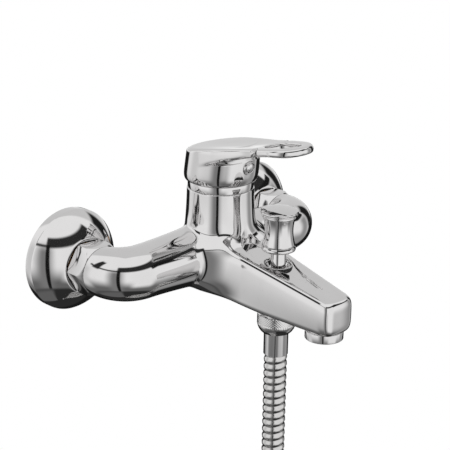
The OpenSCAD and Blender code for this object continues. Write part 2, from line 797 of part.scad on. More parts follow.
// Diverter bonnet: flange in the recess, guide sleeve, and cage with the upper seat
module diverter_bonnet() {
    cage_r = chamber_d / 2 - push_fit;
    window_r = 2.1;
    color(chrome) at_diverter() difference() {
        union() {
            rod(upper_seat_z, bonnet_z, cage_r);
            rod(bonnet_z, bonnet_z + bonnet_flange, bonnet_flange_r - 0.3);
            rod(bonnet_z + bonnet_flange, guide_end, guide_d / 2);
        }
        rod(upper_seat_z - past, cage_top, seat_r);
        rod(upper_seat_z + 1.2, cage_top, cage_r - cage_wall);
        rod(cage_top - past, guide_end + past, stem_d / 2 + running_fit);
        rod(cage_top + 1, cage_top + 2.6, stem_d / 2 + 1.3);
        tube(bonnet_z - 1.4, bonnet_z - 0.2, cage_r + past, cage_r - 0.9);
        for (a = [0, 90]) translate([0, 0, cage_top - window_r - 0.6]) rotate([90, 0, a])
            rod(-chamber_d, chamber_d, window_r);
    }
}

// Ring seal round the stem
module stem_o_ring() {
    color(rubber) at_diverter() tube(cage_top + 1.05, cage_top + 2.55, stem_d / 2 + 1.25, stem_d / 2 + running_fit);
}

// Ring seal round the bonnet
module bonnet_seal() {
    color(rubber) at_diverter() tube(bonnet_z - 1.4, bonnet_z - 0.2, chamber_d / 2, chamber_d / 2 - push_fit - 0.9);
}

// Helical spring from z1 to z2 whose outside radius is r, with closed flat ends
module coil_spring(z1, z2, r, wire, turns) {
    sides = 6;
    steps = 16;
    n = turns * steps + 1;
    rise = z2 - z1 - wire;
    points = [for (i = [0 : n - 1], k = [0 : sides - 1]) let (
        t = i / steps,
        lift = rise * min(1, max(0, (t - 0.75) / (turns - 1.5))),
        a = 360 * t,
        b = 360 * k / sides,
        out = r - wire / 2 + wire / 2 * cos(b))
        [out * cos(a), out * sin(a), z1 + wire / 2 + lift + wire / 2 * sin(b)]];
    caps = concat([for (k = [1 : sides - 2]) [0, k + 1, k]],
        [for (k = [1 : sides - 2]) let (z = (n - 1) * sides) [z, z + k, z + k + 1]]);
    polyhedron(points = points, faces = concat(caps, [for (i = [0 : n - 2]) each flipped_band(i * sides, (i + 1) * sides, sides)]));
}

// Return spring of the diverter, between the valve and the bonnet
module diverter_spring() {
    color(steel) at_diverter() coil_spring(valve_top + seal_thickness, cage_top, spring_r, spring_wire, 6);
}

// Diverter valve: disc that holds the two seals
module diverter_valve() {
    color(brass) at_diverter() tube(valve_z, valve_top, seal_r + 0.2, stem_d / 2);
}

// Upper seal of the valve
module upper_valve_seal() {
    color(rubber) at_diverter() tube(valve_top, valve_top + seal_thickness, seal_r, stem_d / 2);
}

// Lower seal of the valve, on the hose's seat
module lower_valve_seal() {
    color(rubber) at_diverter() rod(lower_seat_z, valve_z, seal_r);
}

// Aerator housing: thread in the spout and the rim that shows
module aerator_housing() {
    z = underside - aerator_drop;
    color(chrome) at_outlet() difference() {
        union() {
            rod(underside, underside + aerator_thread_length, aerator_thread_d / 2 - push_fit);
            rod(z + 0.6, underside, aerator_d / 2);
            cone(z, z + 0.6, aerator_d / 2 - 0.6, aerator_d / 2);
        }
        rod(z + 2, underside + aerator_thread_length + past, outlet_chamber_r + 0.4);
        rod(z - past, z + 2 + past, outlet_chamber_r - 0.8);
    }
}

// Aerator insert: plastic honeycomb
module aerator_insert() {
    z = underside - aerator_drop + 2.6;
    r = outlet_chamber_r + 0.4 - push_fit;
    cell = 1.9;
    color(white_plastic) at_outlet() difference() {
        rod(z, z + 6, r);
        for (i = [-4 : 4], j = [-4 : 4]) let (x = (i + (j % 2) / 2) * cell, y = j * cell * 0.866)
            if (norm([x, y]) < r - 1.5) translate([x, y, 0]) rod(z - past, z + 6 + past, 0.75);
    }
}

// Aerator screen: fine plate under the insert
module aerator_screen() {
    z = underside - aerator_drop + 2;
    r = outlet_chamber_r + 0.4 - push_fit;
    slots = 9;
    color(steel) at_outlet() difference() {
        rod(z, z + 0.6, r);
        for (i = [0 : slots - 1]) let (x = (i - (slots - 1) / 2) * 1.6, reach = sqrt(pow(r - 1.6, 2) - x * x))
            translate([x - 0.4, -reach, z - past]) cube([0.8, 2 * reach, 3]);
    }
}

// Aerator washer above the housing's thread
module aerator_washer() {
    z = underside + aerator_thread_length;
    color(rubber) at_outlet() tube(z, z + aerator_washer_height, aerator_thread_d / 2 - push_fit, outlet_chamber_r - 1.2);
}

// Shower nipple: threaded tube out of the spout's underside
module shower_nipple() {
    bottom = spout_bottom(diverter_reach);
    color(brass) at_diverter() difference() {
        rod(hose_seat_z, bottom + nipple_depth - 1.6, hose_thread_d / 2 - 0.02);
        rod(hose_seat_z - past, bottom + nipple_depth, nipple_bore_r);
    }
}

// Ring seal above the nipple
module nipple_o_ring() {
    bottom = spout_bottom(diverter_reach);
    color(rubber) at_diverter() tube(bottom + nipple_depth - 1.6, bottom + nipple_depth,
        hose_thread_d / 2 - 0.05, hose_thread_d / 2 - 1.7);
}

check_r = nipple_bore_r - push_fit;
check_top = spout_bottom(diverter_reach) + nipple_depth - 2;
check_length = 11;
check_travel = 2.6;

// Check valve housing: cage inside the nipple with a seat at the top
module check_valve_housing() {
    bottom = check_top - check_length;
    color(white_plastic) at_diverter() difference() {
        rod(bottom, check_top, check_r);
        rod(check_top - 2, check_top + past, 4.4);
        rod(bottom + 1.2, check_top - 2, check_r - 1);
        for (a = [0 : 60 : 300]) rotate([0, 0, a]) translate([4.6, 0, 0]) rod(bottom - past, bottom + 1.3, 1.3);
    }
}

// Check valve poppet: disc on a stem, closed upwards
module check_valve_poppet() {
    color(grey_plastic) at_diverter() {
        rod(check_top - 3.6, check_top - 2.05, 5.2);
        rod(check_top - 6, check_top - 3.6, 1.6);
    }
}

// Spring under the poppet
module check_valve_spring() {
    color(steel) at_diverter() coil_spring(check_top - check_length + 1.2, check_top - 3.6, 2.9, 0.5, 5);
}

// Hose nut: knurled cone that turns on the ferrule, drawn with its open end up
module hose_nut_shape() {
    r = hose_nut_d / 2;
    l = hose_nut_length;
    thread_end = ferrule_flange + hose_washer_height - nut_grip;
    difference() {
        rotate_extrude() polygon([[0, 0], [r - 0.6, 0], [r, -0.6], [r, -l * 0.55], [r - 0.4, -l * 0.68],
            [r - 1.1, -l * 0.82], [r - 2.2, -l * 0.93], [r - 3, -l], [0, -l]]);
        rod(thread_end, past, hose_thread_d / 2 + push_fit);
        rod(-nut_grip, past, ferrule_flange_r + push_fit);
        rod(-l - past, past, ferrule_d / 2 + push_fit);
    }
}

// Ferrule: flange inside the nut and sleeve over the hose, drawn with its flange at the top
module ferrule_shape(length) {
    difference() {
        union() {
            rod(-ferrule_flange, 0, ferrule_flange_r);
            rod(-length, 0, ferrule_d / 2);
        }
        rod(-length - past, past, hose_bore_d / 2);
    }
}

ferrule_top = hose_seat_z - hose_washer_height;
ferrule_length = ferrule_top + union_offset - hose_start_z;

module hose_washer_near() {
    color(rubber) at_diverter() tube(ferrule_top, hose_seat_z, ferrule_flange_r, hose_bore_d / 2);
}

module hose_nut_near() {
    color(chrome) at_diverter() translate([0, 0, ferrule_top - ferrule_flange + nut_grip]) hose_nut_shape();
}

module hose_ferrule_near() {
    color(chrome) at_diverter() translate([0, 0, ferrule_top]) ferrule_shape(ferrule_length);
}

// Moves its children to the hose's far end, turned so that their top faces down
module at_far_end() at_hose() translate(tail_end_point) rotate([180, 0, 0]) children();

far_length = 16;

module hose_ferrule_far() {
    color(chrome) at_far_end() translate([0, 0, far_length]) ferrule_shape(far_length);
}

module hose_nut_far() {
    color(chrome) at_far_end() translate([0, 0, far_length - ferrule_flange + nut_grip]) hose_nut_shape();
}

module hose_washer_far() {
    color(rubber) at_far_end() tube(far_length, far_length + hose_washer_height, ferrule_flange_r, hose_bore_d / 2);
}

// Point on the smooth curve through four neighbouring route points
function blend(a, b, c, d, t) = 0.5 * (2 * b + (c - a) * t + (2 * a - 5 * b + 4 * c - d) * t * t
    + (3 * b - a - 3 * c + d) * t * t * t);

// Route refined to rings about half a rib apart
function refine(points, step) = let (n = len(points)) concat(
    [for (i = [0 : n - 2]) let (
        a = i == 0 ? 2 * points[0] - points[1] : points[i - 1],
        d = i == n - 2 ? 2 * points[n - 1] - points[n - 2] : points[i + 2],
        parts = max(1, round(norm(points[i + 1] - points[i]) / step)))
        for (k = [0 : parts - 1]) blend(a, points[i], points[i + 1], d, k / parts)],
    [points[n - 1]]);

function unit(v) = v / norm(v);

// One ring of a tube: a circle square to the direction, with its first point along Y
function ring(centre, direction, r, sides) = let (
    across = unit(cross(direction, [0, 1, 0])),
    second = cross(across, direction))
    [for (k = [0 : sides - 1]) centre + r * (cos(360 * k / sides) * second + sin(360 * k / sides) * across)];

function direction_at(points, i) = i == 0 || i == len(points) - 1 ? [0, 0, -1]
    : unit(points[i + 1] - points[i - 1]);

// Triangles between one ring and the next
function band(first, second, sides) = [for (k = [0 : sides - 1]) let (m = (k + 1) % sides)
    each [[first + k, second + k, second + m], [first + k, second + m, first + m]]];

// The same triangles facing the other way
function flipped_band(first, second, sides) = [for (f = band(first, second, sides)) [f[2], f[1], f[0]]];

// Solid tube along points
module solid_tube(points, r, sides) {
    n = len(points);
    rings = [for (i = [0 : n - 1]) each ring(points[i], direction_at(points, i), r, sides)];
    caps = concat([for (k = [1 : sides - 2]) [0, k, k + 1]],
        [for (k = [1 : sides - 2]) let (z = (n - 1) * sides) [z, z + k + 1, z + k]]);
    polyhedron(points = rings, faces = concat([for (i = [0 : n - 2]) each band(i * sides, (i + 1) * sides, sides)], caps));
}

// Ribbed tube with a bore: crests and grooves outside, plain inside
module ribbed_tube(points) {
    sides = 8;
    n = len(points);
    bore_rings = [for (i = [0 : 2 : n - 1]) i, if (n % 2 == 0) n - 1];
    outside = [for (i = [0 : n - 1]) each ring(points[i], direction_at(points, i),
        (i % 2 == 0 ? hose_d : hose_groove_d) / 2, sides)];
    inside = [for (j = [len(bore_rings) - 1 : -1 : 0]) let (i = bore_rings[j])
        each ring(points[i], direction_at(points, i), hose_bore_d / 2, sides)];
    total = n + len(bore_rings);
    polyhedron(points = concat(outside, inside),
        faces = [for (i = [0 : total - 1]) each band(i * sides, ((i + 1) % total) * sides, sides)]);
}

// Coil: turns side by side, entered and left straight down at the left
function coil_point(turn) = let (a = 360 * turn) coil_start + [coil_radius * (1 - cos(a)),
    coil_step * (turn - sin(a) / 360 * 180 / PI), -coil_straight - coil_radius * sin(a)];
coil_line = concat([coil_start], [for (i = [0 : coil_turns * coil_rings]) coil_point(i / coil_rings)], [coil_end]);

// Least distance between the coil's centre lines a turn or more apart, less the hose
coil_gap = min([for (i = [0 : len(coil_line) - 1], j = [i + 12 : len(coil_line) - 1])
    norm(coil_line[i] - coil_line[j])]) - hose_d;
echo(coil_self_gap = coil_gap);

module hose_free() {
    color(steel) at_hose() ribbed_tube(refine(hose_points, rib_pitch / 2));
}

module hose_coil() {
    color(steel) at_hose() solid_tube(coil_line, hose_d / 2, 6);
}

module hose_tail() {
    parts = 2 * round(tail_length / rib_pitch);
    color(steel) at_hose() ribbed_tube([for (i = [0 : parts]) coil_end + (tail_end_point - coil_end) * i / parts]);
}

// Ties: two bands round the bundle, at the bottom and at the right of the coil
module hose_ties() {
    wall = 1;
    width = 7;
    half = hose_d / 2 + 0.4;
    color(rubber) at_hose() for (turn = [0.25, 0.5]) {
        first = coil_point(turn);
        last = coil_point(turn + coil_turns - 1);
        translate(first) rotate([0, 360 * turn, 0]) linear_extrude(height = width, center = true) difference() {
            tie_outline(last[1] - first[1], half + wall);
            tie_outline(last[1] - first[1], half);
        }
    }
}

// Stadium round a row of hoses
module tie_outline(length, r) {
    circle(r = r);
    translate([-r, 0]) square([2 * r, length]);
    translate([0, length]) circle(r = r);
}

eccentric_union(-1);  // eccentric_union_left
eccentric_union(1);  // eccentric_union_right
escutcheon(-1);  // escutcheon_left
escutcheon(1);  // escutcheon_right
union_nut(-1);  // union_nut_left
union_nut(1);  // union_nut_right
filter_washer(-1);  // filter_washer_left
filter_washer(1);  // filter_washer_right
inlet_tail(-1);  // inlet_tail_left
inlet_tail(1);  // inlet_tail_right
body();
port_seals();
cartridge_base();
fixed_disc();
moving_disc();
disc_carrier();
cartridge_housing();
housing_o_ring();
lever_guide();
spindle_pin();
spindle();
temperature_stop();
cartridge_nut();
trim_ring();
slide_ring();
lever();
grub_screw();
index_button();
diverter_knob();
diverter_stem();
diverter_bonnet();
stem_o_ring();
bonnet_seal();
diverter_spring();
diverter_valve();
upper_valve_seal();
lower_valve_seal();
aerator_housing();
aerator_insert();
aerator_screen();
aerator_washer();
shower_nipple();
nipple_o_ring();
check_valve_housing();
check_valve_poppet();
check_valve_spring();
hose_washer_near();
hose_nut_near();
hose_ferrule_near();
hose_free();
hose_coil();
hose_tail();
hose_ferrule_far();
hose_nut_far();
hose_washer_far();
hose_ties();
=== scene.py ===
import json
import math

import bmesh
import bpy
import numpy as np
from mathutils import Matrix, Quaternion, Vector


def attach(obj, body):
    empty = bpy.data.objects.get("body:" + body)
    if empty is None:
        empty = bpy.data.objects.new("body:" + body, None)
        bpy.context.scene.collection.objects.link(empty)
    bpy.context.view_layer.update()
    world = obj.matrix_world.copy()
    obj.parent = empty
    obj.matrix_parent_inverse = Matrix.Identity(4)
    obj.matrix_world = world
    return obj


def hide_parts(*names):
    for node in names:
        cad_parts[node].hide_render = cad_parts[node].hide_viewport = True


bl_info = {
    "name": "Bath mixer",
    "version": (1, 0, 0),
    "blender": (4, 5, 0),
    "location": "View3D > Sidebar > Mixer",
    "description": "Builds the looks of a single-lever bath mixer round its packed frame",
    "category": "Add Mesh",
}

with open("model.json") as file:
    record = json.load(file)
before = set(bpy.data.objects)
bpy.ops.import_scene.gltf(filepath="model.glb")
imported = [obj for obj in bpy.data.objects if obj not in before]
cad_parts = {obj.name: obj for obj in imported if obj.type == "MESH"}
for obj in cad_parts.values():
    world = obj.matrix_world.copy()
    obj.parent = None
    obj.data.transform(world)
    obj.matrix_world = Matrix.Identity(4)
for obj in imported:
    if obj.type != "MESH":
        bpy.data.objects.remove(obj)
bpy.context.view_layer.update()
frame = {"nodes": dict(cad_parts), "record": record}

MM = 0.001
TAU = 2 * math.pi
QUARTER = math.pi / 2
WELD = 1e-5
TINY = 1e-6
SHARP = 28
# Places of the main axes, in millimetres: the origin is on the wall between the two inlets
LIFT = 6.0
INLET_X = 75.0
TOWER_REACH = 53.0
DIVERTER_REACH = 101.0
OUTLET_REACH = 138.0
ARM_REACH = 48.5
ELBOW_START = 32.7
ELBOW_RADIUS = 15.8
PIVOT_Z = 35.4
CLOSED_LEAN = math.radians(12.5)
BUTTON_LIFT = 25.6
TOWER_TOP = 40.8
SKIRT_RIM = 45.6
LEAF_HEIGHT = 67.6
LEAF_BACK = 2.6
LEAF_SLOPE = math.radians(10)
BONNET_Z = 3.92
KNOB_Z = 12.9
UNDERSIDE = -25.0
AERATOR_BOTTOM = -30.2
FERRULE_TOP = -33.155
HOSE_START = -46.0


class MixerSizes(bpy.types.PropertyGroup):
    """Sizes of details that the frame leaves to the looks"""

    edge_round: bpy.props.FloatProperty(
        name="Edge rounding", description="Width of the small rounding on turned edges",
        default=0.25 * MM, min=0.05 * MM, max=0.6 * MM, unit="LENGTH")
    spout_fillet: bpy.props.FloatProperty(
        name="Spout fillet", description="Width of the blend between the spout and the tower",
        default=9 * MM, min=2 * MM, max=14 * MM, unit="LENGTH")
    recess_depth: bpy.props.FloatProperty(
        name="Recess depth", description="Depth of the boat-shaped recess round the diverter",
        default=1.2 * MM, min=0.4 * MM, max=2 * MM, unit="LENGTH")
    knurl_depth: bpy.props.FloatProperty(
        name="Knurl depth", description="Depth of the diamond knurl on the hose nuts",
        default=0.22 * MM, min=0.05 * MM, max=0.4 * MM, unit="LENGTH")
    hose_length: bpy.props.FloatProperty(
        name="Hose length", description="Real length of the shower hose",
        default=1.5, min=1.2, max=2.0, unit="LENGTH")
    hose_diameter: bpy.props.FloatProperty(
        name="Hose diameter", description="Outside diameter of the hose over its ribs",
        default=14 * MM, min=10 * MM, max=16 * MM, unit="LENGTH")
    hose_groove: bpy.props.FloatProperty(
        name="Hose groove", description="Depth of the groove between two ribs of the hose",
        default=0.8 * MM, min=0.2 * MM, max=1.2 * MM, unit="LENGTH")
    rib_pitch: bpy.props.FloatProperty(
        name="Rib pitch", description="Distance from one rib of the hose to the next",
        default=4.6 * MM, min=2 * MM, max=8 * MM, unit="LENGTH")
    thread_pitch: bpy.props.FloatProperty(
        name="Thread pitch", description="Pitch of the pipe threads on the eccentric unions",
        default=1.814 * MM, min=1 * MM, max=2.5 * MM, unit="LENGTH")


class MixerFinishes(bpy.types.PropertyGroup):
    """Colours of the finishes, as sRGB hex values, and the gloss of the chrome"""

    chrome: bpy.props.StringProperty(
        name="Chrome", description="Bright chrome plating", default="DFDEDE")
    hose: bpy.props.StringProperty(
        name="Hose", description="Chromed hose strip", default="D6D5D4")
    brass: bpy.props.StringProperty(
        name="Brass", description="Turned brass", default="C9A468")
    steel: bpy.props.StringProperty(
        name="Steel", description="Bright spring steel", default="B4B3B2")
    rubber: bpy.props.StringProperty(
        name="Rubber", description="Black seal rubber", default="1C1B1B")
    ceramic: bpy.props.StringProperty(
        name="Ceramic", description="Lapped alumina", default="ECE8DC")
    white: bpy.props.StringProperty(
        name="White plastic", description="Moulded acetal", default="E4E3DE")
    grey: bpy.props.StringProperty(
        name="Grey plastic", description="Moulded filled nylon", default="6C7278")
    red: bpy.props.StringProperty(
        name="Red plastic", description="Moulded stop ring", default="A83A30")
    gloss: bpy.props.FloatProperty(
        name="Chrome roughness", description="Roughness of the chrome plating",
        default=0.05, min=0.0, max=0.4, subtype="FACTOR")
    floor: bpy.props.StringProperty(
        name="Floor", description="Colour of the plain floor", default="F4F4F4")


def sizes():
    return bpy.context.scene.mixer_sizes


def finishes():
    return bpy.context.scene.mixer_finishes


def linear(code):
    """The linear colour of an sRGB hex value, by the sRGB standard's curve."""
    parts = [int(code[i:i + 2], 16) / 255 for i in (0, 2, 4)]
    return [c / 12.92 if c <= 0.04045 else ((c + 0.055) / 1.055) ** 2.4 for c in parts] + [1.0]


def shade(code, share):
    """The linear colour of a hex value, darker or lighter by a share."""
    return [min(1.0, c * share) for c in linear(code)[:3]] + [1.0]


def add(tree, kind, settings=None, **inputs):
    """Adds a node: settings are its own options, inputs its sockets' values or links."""
    node = tree.nodes.new(kind)
    for name, value in (settings or {}).items():
        setattr(node, name, value)
    for name, value in inputs.items():
        by_number = name[0] == "i" and name[1:].isdigit()
        socket = node.inputs[int(name[1:]) if by_number else name.replace("_", " ")]
        if isinstance(value, bpy.types.NodeSocket):
            tree.links.new(value, socket)
        else:
            socket.default_value = value
    return node


def new_material(name):
    material = bpy.data.materials.new(name)
    material.use_nodes = True
    material.node_tree.nodes.clear()
    return material, material.node_tree


def close_material(tree, **inputs):
    shader = add(tree, "ShaderNodeBsdfPrincipled", None, **inputs)
    add(tree, "ShaderNodeOutputMaterial", None, Surface=shader.outputs["BSDF"])


# Nearly all values of a noise texture lie between these two
NOISE_LOW, NOISE_HIGH = 0.3, 0.7


def pattern(tree, scale_mm, detail=2.0, stretch=(1, 1, 1)):
    """Noise on Object coordinates whose grains are about scale_mm across."""
    place = add(tree, "ShaderNodeTexCoord")
    mapping = add(tree, "ShaderNodeMapping", None, Vector=place.outputs["Object"], Scale=stretch)
    return add(tree, "ShaderNodeTexNoise", None, Vector=mapping.outputs["Vector"],
               Scale=1 / (scale_mm * MM), Detail=detail).outputs["Fac"]


def spread(tree, value, low, high):
    """A texture's middle range stretched from low to high."""
    return add(tree, "ShaderNodeMapRange", None, Value=value, From_Min=NOISE_LOW,
               From_Max=NOISE_HIGH, To_Min=low, To_Max=high).outputs["Result"]


def tint(tree, value, code, low, high):
    """A colour that wanders between two shades of a hex value."""
    ramp = add(tree, "ShaderNodeValToRGB", None, Fac=value)
    for stop, place, share in zip(ramp.color_ramp.elements, (NOISE_LOW, NOISE_HIGH), (low, high)):
        stop.position = place
        stop.color = shade(code, share)
    return ramp.outputs["Color"]


def bump(tree, height, depth_mm, strength=1.0):
    return add(tree, "ShaderNodeBump", None, Height=height, Distance=depth_mm * MM,
               Strength=strength).outputs["Normal"]


def chrome_finish():
    # Bright chrome plating on polished brass: mirror gloss, faint waves and a haze of fine marks
    look = finishes()
    material, tree = new_material("chrome_plating_polished")
    haze = pattern(tree, scale_mm=9, detail=3)
    waves = pattern(tree, scale_mm=14, detail=1)
    marks = pattern(tree, scale_mm=0.9, detail=4, stretch=(1, 1, 0.35))
    close_material(
        tree, Metallic=1.0, Base_Color=tint(tree, haze, look.chrome, low=0.97, high=1.0),
        Roughness=spread(tree, marks, low=look.gloss * 0.8, high=look.gloss * 1.3),
        Normal=bump(tree, waves, depth_mm=0.05, strength=0.5))
    return material


def hose_finish():
    # Chromed brass strip wound into a hose: a little duller than the castings, and worn
    look = finishes()
    material, tree = new_material("chromed_strip_wound")
    haze = pattern(tree, scale_mm=5, detail=3)
    marks = pattern(tree, scale_mm=0.6, detail=4)
    close_material(
        tree, Metallic=1.0, Base_Color=tint(tree, haze, look.hose, low=0.92, high=1.0),
        Roughness=spread(tree, marks, low=0.1, high=0.17),
        Normal=bump(tree, marks, depth_mm=0.02, strength=0.6))
    return material


def brass_finish():
    # Turned brass: fine lathe rings round the part and a warm tarnish that comes and goes
    material, tree = new_material("brass_turned")
    tarnish = pattern(tree, scale_mm=6, detail=4)
    rings = pattern(tree, scale_mm=0.5, detail=2, stretch=(0.1, 1, 0.1))
    close_material(
        tree, Metallic=1.0, Base_Color=tint(tree, tarnish, finishes().brass, low=0.8, high=1.05),
        Roughness=spread(tree, rings, low=0.2, high=0.34), Normal=bump(tree, rings, depth_mm=0.03))
    return material


def steel_finish():
    # Drawn stainless steel: grey, with fine lengthwise draw marks
    material, tree = new_material("stainless_steel_drawn")
    marks = pattern(tree, scale_mm=0.4, detail=3, stretch=(1, 1, 0.2))
    close_material(
        tree, Metallic=1.0, Base_Color=tint(tree, marks, finishes().steel, low=0.85, high=1.0),
        Roughness=spread(tree, marks, low=0.16, high=0.3), Normal=bump(tree, marks, depth_mm=0.02))
    return material


def rubber_finish():
    # Moulded nitrile rubber: near black, soft sheen, fine talc haze and a pebbled skin
    material, tree = new_material("nitrile_rubber_moulded")
    talc = pattern(tree, scale_mm=3, detail=4)
    skin = pattern(tree, scale_mm=0.35, detail=2)
    close_material(
        tree, Base_Color=tint(tree, talc, finishes().rubber, low=0.8, high=1.6), IOR=1.52,
        Roughness=spread(tree, talc, low=0.5, high=0.66), Normal=bump(tree, skin, depth_mm=0.04))
    return material


def ceramic_finish():
    # Lapped alumina: warm white, dense, with a satin lapped gloss and a fine grey speckle
    material, tree = new_material("alumina_ceramic_lapped")
    speckle = pattern(tree, scale_mm=0.5, detail=3)
    close_material(
        tree, Base_Color=tint(tree, speckle, finishes().ceramic, low=0.93, high=1.0), IOR=1.77,
        Roughness=spread(tree, speckle, low=0.12, high=0.2),
        Normal=bump(tree, speckle, depth_mm=0.005))
    return material


def plastic_finish(name, code, low=0.3, high=0.42):
    # Injection-moulded plastic: even colour with slight flow clouds and a fine eroded grain
    material, tree = new_material(name)
    clouds = pattern(tree, scale_mm=8, detail=2)
    grain = pattern(tree, scale_mm=0.25, detail=2)
    close_material(
        tree, Base_Color=tint(tree, clouds, code, low=0.94, high=1.02), IOR=1.48,
        Roughness=spread(tree, grain, low, high), Normal=bump(tree, grain, depth_mm=0.01))
    return material


MAKERS = {
    "chrome": chrome_finish,
    "hose_metal": hose_finish,
    "brass": brass_finish,
    "steel": steel_finish,
    "rubber": rubber_finish,
    "ceramic": ceramic_finish,
    "white_plastic": lambda: plastic_finish("acetal_white_moulded", finishes().white),
    "grey_plastic": lambda: plastic_finish("nylon_grey_moulded", finishes().grey, 0.4, 0.55),
    "red_plastic": lambda: plastic_finish("acetal_red_moulded", finishes().red),
}
MADE = {}


def finish(slot):
    """The material of one of the record's slots, made once."""
    if slot not in MADE:
        MADE[slot] = MAKERS[slot]()
    return MADE[slot]


def inlet_place(side):
    """Frame of one inlet, whose Z runs out from the wall."""
    return Matrix.Translation((side * INLET_X, 0, LIFT)) @ Matrix.Rotation(QUARTER, 4, "X")


TOWER = Matrix.Translation((0, -TOWER_REACH, LIFT))
DIVERTER = Matrix.Translation((0, -DIVERTER_REACH, LIFT))
OUTLET = Matrix.Translation((0, -OUTLET_REACH, LIFT))
PIVOT = TOWER @ Matrix.Translation((0, 0, PIVOT_Z)) @ Matrix.Rotation(CLOSED_LEAN, 4, "X")
BUTTON = PIVOT @ Matrix.Translation((0, 0, BUTTON_LIFT)) @ Matrix.Rotation(QUARTER, 4, "X")


def turned(outline, closed=True, steps=128, rounding=None):
    """A solid of revolution about Z from (radius, height) points, its sharp edges rounded."""
    bm = bmesh.new()
    verts = [bm.verts.new((r, 0, z)) for r, z in outline]
    pairs = list(zip(verts, verts[1:])) + ([(verts[-1], verts[0])] if closed else [])
    edges = [bm.edges.new(pair) for pair in pairs]
    bmesh.ops.spin(bm, geom=verts + edges, cent=(0, 0, 0), axis=(0, 0, 1), angle=TAU, steps=steps,
                   use_merge=True)
    bmesh.ops.remove_doubles(bm, verts=bm.verts, dist=WELD)
    bmesh.ops.recalc_face_normals(bm, faces=bm.faces)
    width = sizes().edge_round / MM if rounding is None else rounding
    limit = math.radians(SHARP)
    sharp = [e for e in bm.edges if len(e.link_faces) == 2 and e.calc_face_angle(0) > limit]
    if width and sharp:
        bmesh.ops.bevel(bm, geom=sharp, offset=width, offset_type="OFFSET", segments=3,
                        profile=0.5, affect="EDGES", clamp_overlap=True, material=-1)
    return bm


def join(*shapes):
    """One mesh that holds all the shapes."""
    whole = bmesh.new()
    for bm in shapes:
        part = bpy.data.meshes.new("part")
        bm.to_mesh(part)
        bm.free()
        whole.from_mesh(part)
        bpy.data.meshes.remove(part)
    return whole


def mesh_of(bm, name):
    mesh = bpy.data.meshes.new(name)
    bm.to_mesh(mesh)
    bm.free()
    return mesh


def made(bm, name, slot, body, place=None, replaces=(), crease=32):
    """Finishes a shape: into its place, into metres, shaded, painted and riding its body."""
    into = Matrix.Scale(MM, 4) @ (place or Matrix.Identity(4))
    bmesh.ops.transform(bm, matrix=into, verts=bm.verts)
    for edge in bm.edges:
        edge.smooth = edge.calc_face_angle(0) < math.radians(crease)
    for face in bm.faces:
        face.smooth = True
    return placed(mesh_of(bm, name), name, slot, body, replaces)


def placed(mesh, name, slot, body, replaces=()):
    piece = bpy.data.objects.new(name, mesh)
    bpy.context.scene.collection.objects.link(piece)
    piece.data.materials.append(finish(slot))
    if replaces:
        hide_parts(*replaces)
    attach(piece, body)
    return piece


def modified(mesh, kind, **settings):
    """The mesh after one modifier."""
    holder = bpy.data.objects.new("holder", mesh)
    bpy.context.scene.collection.objects.link(holder)
    modifier = holder.modifiers.new(kind.title(), kind)
    for name, value in settings.items():
        setattr(modifier, name, value)
    graph = bpy.context.evaluated_depsgraph_get()
    result = bpy.data.meshes.new_from_object(holder.evaluated_get(graph))
    bpy.data.objects.remove(holder)
    return result


def soft_max(a, b, width):
    """The larger of two fields, with the crease between them rounded over a width."""
    near = np.maximum(width - np.abs(a - b), 0) / width
    return np.maximum(a, b) + near ** 3 * width / 6


def soft_min(a, b, width):
    return -soft_max(-a, -b, width)


def slope_of(field, points, step=0.02):
    """Gradient of a field at the points."""
    parts = []
    for axis in range(3):
        shift = np.zeros(3)
        shift[axis] = step
        parts.append((field(points + shift) - field(points - shift)) / (2 * step))
    return np.stack(parts, axis=1)


def drawn_on(points, field, rounds=3, reach=1.5, least=0.2):
    """Points moved along the field's slope until they lie on its surface.

    No point moves further than reach in a round; least bounds the square of the slope."""
    for _ in range(rounds):
        value = field(points)
        slope = slope_of(field, points)
        move = -value / np.maximum((slope ** 2).sum(axis=1), least)
        points = points + slope * np.clip(move, -reach, reach)[:, None]
    return points


def directions(field, points):
    """The field's slope at the points, made one long."""
    slope = slope_of(field, points)
    return slope / np.maximum(np.linalg.norm(slope, axis=1), TINY)[:, None]


def coordinates(bm):
    return np.array([v.co for v in bm.verts])


def put(bm, points):
    for vert, point in zip(bm.verts, points):
        vert.co = point


def smooth(bm, verts):
    bmesh.ops.smooth_vert(bm, verts=verts, factor=0.5, use_axis_x=True, use_axis_y=True,
                          use_axis_z=True)


def unfolded(bm, field, rounds=8, facing=0.8):
    """Smooths the few places where the drawn mesh has folded, and draws them back."""
    for _ in range(rounds):
        bm.normal_update()
        normals = np.array([v.normal for v in bm.verts])
        shares = (normals * directions(field, coordinates(bm))).sum(axis=1)
        folded = [vert for vert, share in zip(bm.verts, shares) if share < facing]
        near = {other for vert in folded for face in vert.link_faces for other in face.verts}
        smooth(bm, [vert for vert in bm.verts if vert in near])
        put(bm, drawn_on(coordinates(bm), field, rounds=1, reach=0.3))


